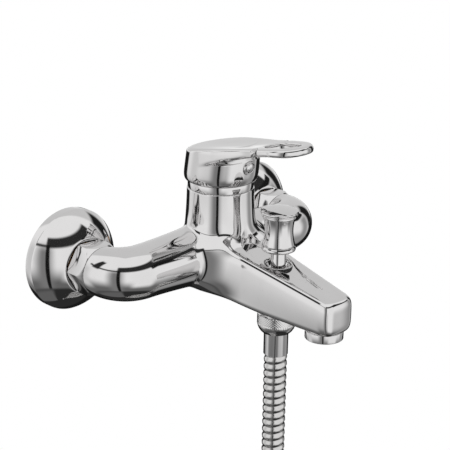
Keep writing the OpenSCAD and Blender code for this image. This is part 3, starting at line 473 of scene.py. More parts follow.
def cast(bm, name, field, voxel, slot, body, replaces, fine=()):
    """A casting: rough solids merged by a voxel remesh, then drawn onto their field's surface.

    fine holds (field, width): edges within that width of the field's zero are halved."""
    mesh = modified(mesh_of(bm, name), "REMESH", mode="VOXEL", voxel_size=voxel)
    bm = bmesh.new()
    bm.from_mesh(mesh)
    put(bm, drawn_on(coordinates(bm), field, rounds=6))
    for _ in range(4):
        smooth(bm, bm.verts)
        put(bm, drawn_on(coordinates(bm), field, rounds=2))
    for near, width in fine:
        close = np.abs(near(coordinates(bm))) < width
        edges = [e for e in bm.edges if close[e.verts[0].index] or close[e.verts[1].index]]
        bmesh.ops.subdivide_edges(bm, edges=edges, cuts=1, use_grid_fill=True)
        bm.verts.index_update()
        put(bm, drawn_on(coordinates(bm), field, rounds=3, reach=0.4))
    unfolded(bm, field)
    bmesh.ops.triangulate(bm, faces=[f for f in bm.faces if len(f.verts) > 4])
    normals = directions(field, coordinates(bm))
    bmesh.ops.scale(bm, vec=(MM, MM, MM), verts=bm.verts)
    for face in bm.faces:
        face.smooth = True
    mesh = mesh_of(bm, name)
    mesh.normals_split_custom_set_from_vertices(normals)
    return placed(mesh, name, slot, body, replaces)


def fading(value, middle, width):
    """A divisor that is 1 well below the middle and grows above it: it fades a form out."""
    return 1 + np.exp((value - middle) / width)


def swell(value, middle, width):
    """A smooth rise to 1 at the middle and back to 0."""
    return np.exp(-((value - middle) / width) ** 2)


# Tower: its radius at the top and how much wider it is at the foot, below the middle height
TOWER_RADIUS = 19.93
TOWER_WIDER = 3.1
TOWER_MIDDLE = (15, 9)
TOWER_BOTTOM = -19
TOWER_BOTTOM_ROUND = 14
# Arms: radius where they leave the tower, its loss per millimetre, and two places with more
ARM_RADIUS = 17.75
ARM_TAPER = 0.0385
ARM_ROOT = (3, 15)
ARM_KNUCKLE = (0.6, 70, 14)
# Spout: sizes at the tower and at the tip, and the reach over which they change
SPOUT_RUN = 85
SPOUT_TOP = 15
SPOUT_DROP = 17.5
SPOUT_HALF = 19
SPOUT_NARROWING = 7
SPOUT_BELLY = 0.8
SPOUT_BOTTOM = -25.4
NOSE_RADIUS = 55
NOSE_TIP = 150.6
EDGE_ROUND = 6.5
# Shoulder between spout and arms: where it starts, its greatest run, and its upper and lower end
SHOULDER_START = 88
SHOULDER_RUN = 30
SHOULDER_CURVE = 56
SHOULDER_TOP = (15, 2.5)
SHOULDER_BOTTOM = (-15, -3)
SHOULDER_ROUND = 13
SHELF_RISE = 4


def tower_field(p):
    height = p[:, 2] - LIFT
    out = np.hypot(p[:, 0], p[:, 1] + TOWER_REACH)
    wall = out - (TOWER_RADIUS + TOWER_WIDER / fading(height, *TOWER_MIDDLE))
    foot = soft_max(wall, TOWER_BOTTOM - height, TOWER_BOTTOM_ROUND)
    return soft_max(foot, height - TOWER_TOP, 1)


def arm_field(p):
    """Both arms with their elbows, a bent round bar whose radius changes along it."""
    side = np.abs(p[:, 0]) - (INLET_X - ELBOW_RADIUS)
    height = p[:, 2] - LIFT
    back = p[:, 1] + ELBOW_START
    turn = np.clip(np.arctan2(side, -back), 0, QUARTER)
    bent = np.hypot(np.hypot(side, back) - ELBOW_RADIUS, height)
    straight = np.hypot(p[:, 1] + ARM_REACH, height)
    beyond = np.hypot(side - ELBOW_RADIUS, height)
    in_bend = side > 0
    along = np.where(in_bend, INLET_X - ELBOW_RADIUS + ELBOW_RADIUS * turn, np.abs(p[:, 0]))
    out = np.where(in_bend, np.where(back > 0, beyond, bent), straight)
    more, middle, width = ARM_KNUCKLE
    radius = (ARM_RADIUS - ARM_TAPER * along + ARM_ROOT[0] * np.exp(-along / ARM_ROOT[1])
              + more * swell(along, middle, width))
    end = np.where(side > -3, back, -9.0)
    return soft_max(out - radius, end, 1)


def spout_top(reach):
    return SPOUT_TOP - SPOUT_DROP * (reach - TOWER_REACH) / SPOUT_RUN


def spout_field(p):
    reach = -p[:, 1]
    height = p[:, 2] - LIFT
    flare = np.clip(SHOULDER_START - reach, 0, SHOULDER_RUN) ** 2 / SHOULDER_CURVE
    shoulder = flare / fading(height, *SHOULDER_TOP) / fading(height, *SHOULDER_BOTTOM)
    rise = SHELF_RISE / fading(reach, 77, 2)
    edge = EDGE_ROUND + SHOULDER_ROUND / fading(reach, 71, 3)
    top = spout_top(reach)
    bottom = (SPOUT_BOTTOM + 0.03 * (OUTLET_REACH - reach)
              + 0.0016 * np.maximum(110 - reach, 0) ** 2)
    middle = (height - (top + bottom) / 2) / ((top - bottom) / 2)
    half = (SPOUT_HALF - SPOUT_NARROWING * (reach - TOWER_REACH) / SPOUT_RUN
            + SPOUT_BELLY * (1 - np.minimum(middle ** 2, 1.5)) + shoulder)
    side = np.abs(p[:, 0]) - half
    nose = np.hypot(p[:, 0], reach - (NOSE_TIP - NOSE_RADIUS)) - NOSE_RADIUS
    plan = soft_max(side, nose, 7)
    crown = soft_max(plan, (height - top - rise) * 0.98, edge)
    return soft_max(soft_max(crown, bottom - height, 7.5), 48 - reach, 2)


def line_field(x, y, start, end, first, last):
    """Plan of a bar with round ends of two radii, between two points of the centre line."""
    share = np.clip((y - start) / (end - start), 0, 1)
    return np.hypot(x, y - (start + (end - start) * share)) - (first + (last - first) * share)


# Boat-shaped recess round the diverter: (reach, half width) from stern to tip
RECESS = [(82, 7.8), (DIVERTER_REACH, 9.0), (118, 3.2), (134, 0.9)]
WELL_RADIUS = 8.2
WELL_FLOOR = BONNET_Z - 3.2


def recess_field(p):
    reach = -p[:, 1]
    bars = [line_field(p[:, 0], reach, start, end, first, last)
            for (start, first), (end, last) in zip(RECESS, RECESS[1:])]
    boat = soft_min(soft_min(bars[0], bars[1], 3), bars[2], 2)
    floor = spout_top(reach) - sizes().recess_depth / MM - (p[:, 2] - LIFT)
    return soft_max(boat, floor, 1.2)


def well_field(p):
    """Round well in the recess that the bonnet is screwed into."""
    out = np.hypot(p[:, 0], p[:, 1] + DIVERTER_REACH)
    return soft_max(out - WELL_RADIUS, WELL_FLOOR - (p[:, 2] - LIFT), 1)


def body_field(p):
    whole = soft_min(tower_field(p), spout_field(p), sizes().spout_fillet / MM)
    whole = soft_min(whole, arm_field(p), 3)
    return soft_max(soft_max(whole, -recess_field(p), 0.8), -well_field(p), 0.5)


def rod(radius, start, end, place, tip=None, sides=48):
    """Plain rough bar along the place's Z, for a casting's inside."""
    bm = bmesh.new()
    bmesh.ops.create_cone(bm, cap_ends=True, segments=sides, radius1=radius,
                          radius2=radius if tip is None else tip, depth=end - start,
                          matrix=place @ Matrix.Translation((0, 0, (start + end) / 2)))
    return bm


def elbow(side, radius=15, start=58, straight=1.2):
    """Rough quarter bend at the end of an arm."""
    bm = bmesh.new()
    across = Matrix.Rotation(QUARTER, 4, "Y")
    bmesh.ops.create_circle(bm, cap_ends=True, segments=32, radius=radius,
                            matrix=Matrix.Translation((side * start, -ARM_REACH, LIFT)) @ across)
    ring = bmesh.ops.extrude_face_region(bm, geom=list(bm.faces))
    moved = [g for g in ring["geom"] if isinstance(g, bmesh.types.BMVert)]
    bmesh.ops.translate(bm, vec=(side * straight, 0, 0), verts=moved)
    face = [g for g in ring["geom"] if isinstance(g, bmesh.types.BMFace)]
    bmesh.ops.spin(bm, geom=face, cent=(side * (INLET_X - ELBOW_RADIUS), -ELBOW_START, LIFT),
                   axis=(0, 0, side), angle=QUARTER, steps=10)
    bmesh.ops.recalc_face_normals(bm, faces=bm.faces)
    return bm


def spout_block():
    """Rough spout: a box that tapers and slopes as the spout does."""
    bm = bmesh.new()
    bmesh.ops.create_cube(bm, size=1)
    for vert in bm.verts:
        near = vert.co.y > 0
        reach = TOWER_REACH + 3 if near else OUTLET_REACH + 11
        half = 18 if near else 10.5
        bottom = -22.5 if near else -24.5
        height = spout_top(reach) - 0.3 if vert.co.z > 0 else bottom
        vert.co = (math.copysign(half, vert.co.x), -reach, height + LIFT)
    return bm


class MIXER_OT_body(bpy.types.Operator):
    """Makes the casting: tower, arms, elbows and spout with its recess"""

    bl_idname = "mixer.body"
    bl_label = "Body"

    def execute(self, context):
        across = Matrix.Translation((0, -ARM_REACH, LIFT)) @ Matrix.Rotation(QUARTER, 4, "Y")
        tower = rod(21.5, -20, TOWER_TOP - 0.4, TOWER, tip=20)
        arms = rod(16.5, -58.5, 58.5, across)
        rough = join(tower, arms, spout_block(), elbow(-1), elbow(1))
        cast(rough, "body_casting", body_field, 0.8, "chrome", "mixer", ["body"],
             fine=[(recess_field, 1.6), (well_field, 1.2), (recess_field, 0.7)])
        return {"FINISHED"}


# Lever: the leaf's two end radii and length, the ring round the finger loop, the skirt
LEAF_RADII = (21.6, 15.6)
LEAF_LENGTH = 49
LEAF_HIP = (1.2, 30, 9)
LEAF_THICKNESS = (2.6, 1.7)
LEAF_DISH = (1.3, 13, 16, 20)
LOOP = (44.7, 49.7, 8.5)
SKIRT_RADIUS = 22.2
SKIRT_LEAN = 0.13
SKIRT_LEAN_START = 47.6
HOLLOW_RADIUS = 20
HOLLOW_TOP = 57.6
BOSS_RADIUS = 8
BOSS_START = 12.8
BUTTON_HOLE = (4.3, 17)
# Wedge between leaf and skirt: the floor's height, the roof's rise per millimetre and its start
SLOT_HEIGHT = 59.6
SLOT_TIP = 10.2
SLOT_RISE = 0.3227
CORE_HALF = (18.0, 21.0)


def leaf_frame(p):
    """Coordinates in the leaf's tilted plane: across, outwards and up."""
    out = -(p[:, 1] + TOWER_REACH) - LEAF_BACK
    up = p[:, 2] - LIFT - LEAF_HEIGHT
    c, s = math.cos(LEAF_SLOPE), math.sin(LEAF_SLOPE)
    return p[:, 0], out * c + up * s, up * c - out * s


def leaf_field(p):
    x, out, up = leaf_frame(p)
    more, middle, width = LEAF_HIP
    plan = line_field(x, out, 0, LEAF_LENGTH, *LEAF_RADII) + more * swell(out, middle, width)
    thick = LEAF_THICKNESS[0] + LEAF_THICKNESS[1] * np.clip(out / LEAF_LENGTH, 0, 1.2) ** 3
    deep, across, centre, along = LEAF_DISH
    dish = deep * np.exp(-((x / across) ** 2 + ((out - centre) / along) ** 2))
    droop = 0.02 * np.maximum(out - 30, 0) ** 2 / 4
    slab = soft_max(plan, up + dish + droop * 0.15, 4)
    under = soft_min(-thick - up, -slot_roof(p), 4)
    return soft_max(slab, under, 3)


def slot_roof(p):
    """Height over the sloping roof of the wedge under the leaf."""
    reach = -(p[:, 1] + TOWER_REACH)
    return (p[:, 2] - LIFT - SLOT_HEIGHT - SLOT_RISE * (reach - SLOT_TIP)) * 0.95


def skirt_lean(height):
    """How far the skirt has leaned outwards at a height."""
    return SKIRT_LEAN * np.maximum(height - SKIRT_LEAN_START, 0)


def skirt_field(p):
    height = p[:, 2] - LIFT
    out = np.hypot(p[:, 0], p[:, 1] + TOWER_REACH + skirt_lean(height))
    radius = (SKIRT_RADIUS - 1.2 * np.exp(-(height - SKIRT_RIM) / 1.6)
              - 0.03 * np.maximum(height - 50, 0))
    top = leaf_frame(p)[2]
    return soft_max(soft_max(out - radius, SKIRT_RIM - height, 0.8), top + 1, 1.8)


def slot_field(p):
    """Wedge that parts the leaf from the skirt's front."""
    reach = -(p[:, 1] + TOWER_REACH)
    lower = SLOT_HEIGHT + 0.012 * np.maximum(reach - 14, 0) ** 2 - (p[:, 2] - LIFT)
    round_core = np.hypot(p[:, 0] / CORE_HALF[0], (reach - LEAF_BACK) / CORE_HALF[1])
    core = 19.5 * (1 - round_core)
    upper = slot_roof(p) - 1.2 * np.maximum(reach - SLOT_TIP, 0)
    return soft_max(soft_max(upper, lower, 0.6), core, 1.2)


def loop_field(p):
    x, out, _ = leaf_frame(p)
    start, end, radius = LOOP
    return line_field(x, out, start, end, radius, radius)


def local_to(place, p):
    """The points in a place's own frame."""
    inverse = np.array(place.inverted())
    return p @ inverse[:3, :3].T + inverse[:3, 3]


def button_hole_field(p):
    q = local_to(BUTTON, p)
    radius, floor = BUTTON_HOLE
    return soft_max(np.hypot(q[:, 0], q[:, 1]) - radius, floor - q[:, 2], 0.4)


def lever_field(p):
    height = p[:, 2] - LIFT
    skirt = soft_max(skirt_field(p), -slot_field(p), 0.7)
    whole = soft_min(skirt, leaf_field(p), 1.2)
    whole = soft_max(whole, -loop_field(p), 2)
    out = np.hypot(p[:, 0], p[:, 1] + TOWER_REACH + skirt_lean(height))
    hollow = soft_max(out - HOLLOW_RADIUS, height - HOLLOW_TOP, 5)
    whole = soft_max(whole, -hollow, 0.4)
    q = local_to(PIVOT, p)
    boss = soft_max(np.hypot(q[:, 0], q[:, 1]) - BOSS_RADIUS, BOSS_START - q[:, 2], 0.8)
    boss = soft_max(boss, q[:, 2] - BUTTON_LIFT, 0.8)
    whole = soft_min(whole, boss, 1.5)
    return soft_max(whole, -button_hole_field(p), 0.3)


def rough_cup():
    """Rough hollow skirt, which leans outwards with its height."""
    cup = turned([(20, 46), (22, 46), (22.2, 52), (22, 59.3), (0.01, 59.3), (0.01, 57.2),
                  (20, 57.2)], steps=64, rounding=0)
    for vert in cup.verts:
        vert.co.y -= skirt_lean(vert.co.z)
    bmesh.ops.transform(cup, matrix=TOWER, verts=cup.verts)
    return cup


def rough_crown(leaf):
    """Rough middle of the leaf, a thick disc cut off along the wedge's roof."""
    crown = rod(LEAF_RADII[0] - 0.3, -14, -0.4, leaf, sides=64)
    cut = bmesh.ops.bisect_plane(
        crown, geom=crown.verts[:] + crown.edges[:] + crown.faces[:],
        plane_co=TOWER @ Vector((0, -SLOT_TIP, SLOT_HEIGHT)), plane_no=(0, SLOT_RISE, 1),
        clear_inner=True)
    rim = [e for e in cut["geom_cut"] if isinstance(e, bmesh.types.BMEdge)]
    bmesh.ops.holes_fill(crown, edges=rim, sides=0)
    return crown


def rough_leaf(leaf):
    """Rough ring of the finger loop, and the slab that carries it."""
    loop = turned([(9.4, -4.8), (15, -4.8), (15, -0.4), (9.4, -0.4)], steps=64, rounding=0)
    bmesh.ops.transform(loop, matrix=leaf @ Matrix.Translation((0, -48, 0)), verts=loop.verts)
    slab = bmesh.new()
    bmesh.ops.create_cube(slab, size=1)
    for vert in slab.verts:
        near = vert.co.y > 0
        half = 19.5 if near else 16.5
        top = -0.4 if vert.co.z > 0 else -4
        vert.co = leaf @ Vector((math.copysign(half, vert.co.x), -4 if near else -37, top))
    return loop, slab


class MIXER_OT_lever(bpy.types.Operator):
    """Makes the lever: hollow skirt, leaf with its finger loop, and the wedge between them"""

    bl_idname = "mixer.lever"
    bl_label = "Lever"

    def execute(self, context):
        leaf = (Matrix.Translation((0, -TOWER_REACH - LEAF_BACK, LIFT + LEAF_HEIGHT))
                @ Matrix.Rotation(-LEAF_SLOPE, 4, "X"))
        inside = Matrix.Diagonal((*(half - 0.3 for half in CORE_HALF), 1, 1))
        core = rod(1, 58, 64, TOWER @ Matrix.Translation((0, -LEAF_BACK, 0)) @ inside)
        boss = rod(BOSS_RADIUS - 0.1, 13, BUTTON_LIFT, PIVOT)
        rough = join(rough_cup(), core, rough_crown(leaf), *rough_leaf(leaf), boss)
        cast(rough, "lever_casting", lever_field, 0.55, "chrome", "lever", ["lever"],
             fine=[(button_hole_field, 0.8), (slot_field, 0.5)])
        return {"FINISHED"}


class MIXER_OT_rings(bpy.types.Operator):
    """Makes the trim ring under the lever's skirt"""

    bl_idname = "mixer.rings"
    bl_label = "Trim ring"

    def execute(self, context):
        inside, outside, lip, top, lip_under = 18.3, 19.7, 15.6, 45.2, 43.6
        outline = [(inside, TOWER_TOP), (outside, TOWER_TOP), (outside, top), (lip, top),
                   (lip, lip_under), (inside, lip_under)]
        made(turned(outline), "trim_ring_turned", "chrome", "mixer", TOWER, ["trim_ring"])
        return {"FINISHED"}


def arc(centre, radius, start, end, parts):
    """Points on an arc of a half section, angles in degrees from the radius direction."""
    angles = [math.radians(start + (end - start) * i / parts) for i in range(parts + 1)]
    return [(centre[0] + radius * math.cos(a), centre[1] + radius * math.sin(a)) for a in angles]


class MIXER_OT_button(bpy.types.Operator):
    """Makes the round index button in the skirt's front"""

    bl_idname = "mixer.button"
    bl_label = "Index button"

    def execute(self, context):
        dome = [(3.2 * math.cos(math.radians(a)), 18.45 + 1.35 * math.sin(math.radians(a)))
                for a in range(8, 90, 8)]
        outline = [(0, 15.2), (4.2, 15.2), (4.2, 18.8), (3.55, 18.8), (3.45, 18.4)] + dome
        button = turned(outline + [(0, 19.8)], closed=False, steps=64, rounding=0.12)
        made(button, "index_button_domed", "chrome", "lever", BUTTON, ["index_button"])
        return {"FINISHED"}


class MIXER_OT_diverter(bpy.types.Operator):
    """Makes the diverter's knob, its stem and the bonnet with its guide sleeve"""

    bl_idname = "mixer.diverter"
    bl_label = "Diverter"

    def execute(self, context):
        foot = [(0, 0), (9.0, 0), (9.8, 0.5), (10, 1.3), (9.7, 2.3), (9.2, 2.9), (9.5, 3.5),
                (9.5, 4.2)]
        waist = [(8.25 + 1.1 * ((z - 12.2) / 7.6) ** 2, z) for z in np.linspace(4.8, 19.7, 15)]
        collar = [(9.4, 20.2), (10.2, 20.5), (10.2, 21.5), (9.8, 21.8), (9.8, 22.3)]
        crown = [(9.0, 24.7), (7, 25.05), (5, 25.3), (2.5, 25.45), (0, 25.5)]
        outline = foot + waist + collar + arc((10.3, 23.3), 0.9, -60, 70, 6) + crown
        knob = turned(outline, closed=False, steps=128, rounding=0.12)
        made(knob, "knob_turned", "chrome", "diverter",
             DIVERTER @ Matrix.Translation((0, 0, KNOB_Z)), ["diverter_knob"])
        rim, dish = BONNET_Z + 0.25, 2.7
        sleeve, sleeve_top, stem_bore = 4.4, 12.6, 2.55
        flange, cage, cage_bore, cage_end, cage_top = 8.6, 8.0, 5.8, -4.3, -2
        bonnet = turned([
            (sleeve, sleeve_top), (sleeve, rim - dish), (6.6, rim - dish), (7.9, rim),
            (flange, rim), (flange, rim - 0.5), (cage, rim - 0.7), (cage, cage_end),
            (cage_bore, cage_end), (cage_bore, cage_top), (stem_bore, cage_top),
            (stem_bore, sleeve_top)])
        made(bonnet, "bonnet_turned", "chrome", "mixer", DIVERTER, ["diverter_bonnet"])
        radius, low, high = 2.5, -14.9, 30.2
        stem = turned([(0, low), (radius, low), (radius, high), (0, high)], closed=False, steps=64)
        made(stem, "stem_turned", "brass", "diverter", DIVERTER, ["diverter_stem"])
        return {"FINISHED"}


class MIXER_OT_aerator(bpy.types.Operator):
    """Makes the aerator's housing under the spout"""

    bl_idname = "mixer.aerator"
    bl_label = "Aerator"

    def execute(self, context):
        base, top = AERATOR_BOTTOM, UNDERSIDE + 7
        mouth, rim, thread, bore = 7.8, 11.1, 10.1, 9
        outline = [(mouth, base), (rim, base), (rim, UNDERSIDE), (thread, UNDERSIDE),
                   (thread, top), (bore, top), (bore, base + 2), (mouth, base + 2)]
        made(turned(outline, rounding=0.4), "aerator_rim_turned", "chrome", "mixer", OUTLET,
             ["aerator_housing"])
        return {"FINISHED"}


def wound(bm, pitch, depth, start, end, inner):
    """Cuts a thread: every vertex outside the inner radius goes in by its place on the helix."""
    for vert in bm.verts:
        out = math.hypot(vert.co.x, vert.co.y)
        if out > inner and start < vert.co.z < end:
            phase = (vert.co.z / pitch - math.atan2(vert.co.y, vert.co.x) / TAU) % 1
            groove = min(1, max(0, 1.4 * abs(2 * phase - 1) - 0.15))
            share = 1 - depth * groove / out
            vert.co.x *= share
            vert.co.y *= share


def threaded(radius, bore, start, end, depth=1.16, rows_per_turn=8):
    """Round bar with a bore and a pipe thread outside, made fine enough for the helix."""
    pitch = sizes().thread_pitch / MM
    rows = int((end - start) / pitch * rows_per_turn)
    side = [(radius, start + (end - start) * i / rows) for i in range(rows + 1)]
    bm = turned(side + [(bore, end), (bore, start)], steps=48, rounding=0)
    wound(bm, pitch, depth, start + 0.3, end - 0.6, bore + 1)
    return bm


class MIXER_OT_unions(bpy.types.Operator):
    """Makes the two eccentric unions with their wall threads"""

    bl_idname = "mixer.unions"
    bl_label = "Eccentric unions"

    def execute(self, context):
        bore, wall_radius, barrel_radius, union_radius = 6.5, 10.48, 11.98, 13.22
        for side, word in ((-1, "left"), (1, "right")):
            wall = threaded(wall_radius, bore, -16, 1)
            barrel = turned([(bore, 0), (barrel_radius, 0), (barrel_radius, 8), (bore, 8)])
            for bm in (wall, barrel):
                bmesh.ops.translate(bm, vec=(0, -LIFT, 0), verts=bm.verts)
            union = threaded(union_radius, bore, 3, 24)
            made(join(wall, barrel, union), "union_" + word + "_turned", "brass", "mixer",
                 inlet_place(side), ["eccentric_union_" + word])
        return {"FINISHED"}


class MIXER_OT_plates(bpy.types.Operator):
    """Makes the two wall plates, thin domes with a straight rim"""

    bl_idname = "mixer.plates"
    bl_label = "Wall plates"

    def execute(self, context):
        rim, low, high, centre, wall, hole = 30.6, 5.4, 19.6, -10.509, 1.2, 13.4
        reach = math.hypot(rim, low - centre)
        outer = [(math.sqrt(reach ** 2 - (z - centre) ** 2), z)
                 for z in np.linspace(low, high, 24)]
        inner = [(math.sqrt((reach - wall) ** 2 - (z - centre) ** 2), z)
                 for z in np.linspace(high - wall, low, 20)]
        outline = [(rim, 0)] + outer + [(hole, high), (hole, high - wall)] + inner
        for side, word in ((-1, "left"), (1, "right")):
            made(turned(outline + [(rim - wall, 0)], steps=160), "plate_" + word + "_domed",
                 "chrome", "mixer", inlet_place(side), ["escutcheon_" + word])
        return {"FINISHED"}


class MIXER_OT_nuts(bpy.types.Operator):
    """Makes the two union nuts: hexagons cut by a cone in front and a chamfer behind"""

    bl_idname = "mixer.nuts"
    bl_label = "Union nuts"

    def execute(self, context):
        flats, start, end, lip, bore, eye = 29, 20.4, 32.4, 29.2, 13.32, 10
        outline = [(bore, start), (15.5, start), (16.9, start + 1), (16.9, end - 4), (14.5, end),
                   (eye, end), (eye, lip), (bore, lip)]
        seen_turn = Matrix.Rotation(math.radians(29), 4, "Z")
        for side, word in ((-1, "left"), (1, "right")):
            limits = mesh_of(turned(outline, steps=96, rounding=0), "blank")
            blank = bpy.data.objects.new("blank", limits)
            prism = rod(flats / math.sqrt(3), start - 2, end + 2, seen_turn, sides=6)
            bpy.context.scene.collection.objects.link(blank)
            mesh = modified(mesh_of(prism, "prism"), "BOOLEAN", operation="INTERSECT",
                            solver="EXACT", object=blank)
            bpy.data.objects.remove(blank)
            mesh = modified(mesh, "BEVEL", width=0.25, segments=2, limit_method="ANGLE",
                            angle_limit=math.radians(20))
            bm = bmesh.new()
            bm.from_mesh(mesh)
            made(bm, "nut_" + word + "_hexagon", "chrome", "mixer", inlet_place(side),
                 ["union_nut_" + word], crease=24)
        return {"FINISHED"}


def knurled(bm, radius, low, high, teeth=48, pitch=1.5):
    """Cuts crossed grooves into the side of a turned piece."""
    depth = sizes().knurl_depth / MM
    for vert in bm.verts:
        out = math.hypot(vert.co.x, vert.co.y)
        if out > radius - 0.05 and low < vert.co.z < high:
            angle = math.atan2(vert.co.y, vert.co.x) * teeth
            rise = vert.co.z * TAU / pitch
            crossed = (abs(math.cos((angle + rise) / 2)), abs(math.cos((angle - rise) / 2)))
            groove = max(crossed) ** 3
            vert.co.x *= 1 - depth * groove / out
            vert.co.y *= 1 - depth * groove / out


def hose_nut():
    """Knurled cone that turns on the ferrule, its open end up."""
    radius, mouth, pocket, eye, length, lip = 11.5, 10.6, 9.3, 7.4, 12.5, 2.3
    rows = [(radius, -0.7 - 6.3 * i / 18) for i in range(19)]
    outline = [(mouth, 0), (radius - 0.5, 0)] + rows + [
        (11.2, -8.3), (10.6, -10), (9.6, -11.5), (8.6, -length), (eye, -length),
        (eye, lip - length), (pocket, lip - length), (pocket, -6), (mouth, -6)]
    bm = turned(outline, steps=192, rounding=0)
    knurled(bm, radius, -7, -0.75)
    return bm


def ferrule(length):
    """Flange inside the nut and sleeve over the hose, its flange at the top."""
    bore, flange, flange_end, sleeve, inside = 4, 9.2, -2.2, 7.3, 6.2
    return turned([(bore, 0), (flange, 0), (flange, flange_end), (sleeve, flange_end),
                   (sleeve, -length), (inside, -length), (bore, -length + 1)])


# Route of the hose in metres from the diverter's axis: straight down, then a slow bend to the left
HOSE_ROUTE = [
    (0, -0.046), (0, -0.060), (0, -0.090), (0, -0.115), (0, -0.130), (-0.0035, -0.150),
    (-0.0135, -0.167), (-0.031, -0.1815), (-0.0485, -0.196), (-0.0585, -0.213), (-0.062, -0.233)]
COIL_TURNS = 3
COIL_PARTS = 24
COIL_RADIUS = 0.062
COIL_STEP = 0.016
COIL_STRAIGHT = 0.014
TAIL_LENGTH = 0.084


def smooth_points(points, spacing, samples=24):
    """Points at even spacing on the smooth curve through the route's points."""
    ends = [2 * points[0] - points[1]] + points + [2 * points[-1] - points[-2]]
    line = []
    for a, b, c, d in zip(ends, ends[1:], ends[2:], ends[3:]):
        for t in np.linspace(0, 1, samples, endpoint=False):
            line.append(0.5 * (2 * b + (c - a) * t + (2 * a - 5 * b + 4 * c - d) * t ** 2
                               + (3 * b - a - 3 * c + d) * t ** 3))
    line = np.array(line + [points[-1]])
    run = np.concatenate([[0], np.cumsum(np.linalg.norm(np.diff(line, axis=0), axis=1))])
    even = np.linspace(0, run[-1], int(run[-1] / spacing) + 1)
    return np.stack([np.interp(even, run, line[:, i]) for i in range(3)], axis=1)


def hose_line(spacing):
    """Centre line of the hose: free stretch, coil, and tail to the far end."""
    start = np.array([0, -DIVERTER_REACH * MM, 0])
    route = [start + np.array([x, 0, z]) for x, z in HOSE_ROUTE]
    entry = route[-1]
    for step in range(1, COIL_TURNS * COIL_PARTS + 1):
        turn = step / COIL_PARTS
        angle = TAU * turn
        route.append(entry + np.array([COIL_RADIUS * (1 - math.cos(angle)),
                                       COIL_STEP * (turn - math.sin(angle) / TAU),
                                       -COIL_STRAIGHT - COIL_RADIUS * math.sin(angle)]))
    leave = entry + np.array([0, COIL_STEP * COIL_TURNS, -2 * COIL_STRAIGHT])
    route += [leave - np.array([0, 0, TAIL_LENGTH * i / 6]) for i in range(7)]
    return smooth_points(route, spacing)


def tube_points(line, angles, radius):
    """Rings of points square to a line; their first direction is Y, carried along untwisted."""
    ahead = np.gradient(line, axis=0)
    ahead /= np.linalg.norm(ahead, axis=1)[:, None]
    across = [np.array([0.0, 1.0, 0.0])]
    for direction in ahead[1:]:
        side = across[-1] - direction * np.dot(across[-1], direction)
        across.append(side / np.linalg.norm(side))
    across = np.array(across)
    up = np.cross(ahead, across)
    return (line[:, None, :] + (radius * np.cos(angles))[:, :, None] * across[:, None, :]
            + (radius * np.sin(angles))[:, :, None] * up[:, None, :])


class MIXER_OT_hose(bpy.types.Operator):
    bl_idname = "mixer.hose"
    bl_label = "Hose"

    def execute(self, context):
        size = sizes()
        sides = 20
        per_rib = 7
        line = hose_line(size.rib_pitch / per_rib)
        turns, along = np.meshgrid(np.arange(sides + 1) / sides, np.arange(len(line)) / per_rib)
        crest = (0.5 + 0.5 * np.cos(TAU * (along - turns))) ** 0.6
        radius = size.hose_diameter / 2 - size.hose_groove * (1 - crest)
        bm = bmesh.new()
        bmesh.ops.create_grid(bm, x_segments=sides, y_segments=len(line) - 1, size=1)
        put(bm, tube_points(line, turns * TAU, radius).reshape(-1, 3))
        bmesh.ops.remove_doubles(bm, verts=bm.verts, dist=TINY)
        bmesh.ops.holes_fill(bm, edges=[e for e in bm.edges if e.is_boundary], sides=0)
        bmesh.ops.recalc_face_normals(bm, faces=bm.faces)
        for face in bm.faces:
            face.smooth = len(face.verts) == 4
        mesh = mesh_of(bm, "hose_ribbed")
        hose = placed(mesh, "hose_ribbed", "hose_metal", "mixer",
                      ["hose_free", "hose_coil", "hose_tail"])
        return {"FINISHED"}


class MIXER_OT_hose_ends(bpy.types.Operator):
    """Makes the knurled nut and the ferrule at the hose's near end"""

    bl_idname = "mixer.hose_ends"
    bl_label = "Hose ends"

    def execute(self, context):
        grip = 8.0
        near = DIVERTER @ Matrix.Translation((0, 0, FERRULE_TOP))
        made(ferrule(FERRULE_TOP + LIFT - HOSE_START), "ferrule_near_turned", "chrome", "mixer",
             near, ["hose_ferrule_near"])
        made(hose_nut(), "hose_nut_near_knurled", "chrome", "mixer",
             near @ Matrix.Translation((0, 0, grip)), ["hose_nut_near"])
        return {"FINISHED"}


class MIXER_OT_inner_parts(bpy.types.Operator):
    """Paints every part that keeps its shape from the frame with the finish of its slot"""

    bl_idname = "mixer.inner_parts"
    bl_label = "Inner parts"

    def execute(self, context):
        slots = {}
        for part in frame["record"]["subparts"]:
            slots[part["node"]] = part["material_slot"]
        for name, node in frame["nodes"].items():
            material = finish(slots[name])
            if node.data.materials:
                node.material_slots[0].material = material
            else:
                node.data.materials.append(material)
        return {"FINISHED"}


# Studio as the chrome sees it: white soft boxes all round, and the gaps between them.
# A gap has its azimuth from the wall's direction, half its width, its lowest and highest
# elevation and its softness, all in degrees, and then its brightness, where 1 is white.
# A later gap lies over an earlier one.
PLAIN_LIGHT = 0.9
LOW_LEVEL = 0.16
HIGH_LEVEL = 1.0
LEVEL_START = -44
LEVEL_END = -6
STUDIO_GAPS = [
    (-40, 14, -40, 20, 10, 0.75),
    (178, 26, -38, 22, 10, 0.98),
    (-118, 15, -60, 31, 13, 0.24),
    (112, 12, -60, 20, 10, 0.35),
    (180, 60, 28, 48, 3, 0.03),
    (-85, 42, 29, 34, 2, 0.05),
    (-63, 10, 26, 56, 3, 0.03),
    (45, 52, -3, 90, 4, 0.72),
    (86, 12, -12, 28, 4, 0.015),
    (128, 26, 21, 32, 2, 0.012),
    (-125, 4, -60, 34, 1.5, 0.01),
    (45, 50, -100, -9, 3, 0.012),
    (0, 200, -100, -56, 4, 0.03),
    (-75, 55, -100, -58, 8, 0.14),
]
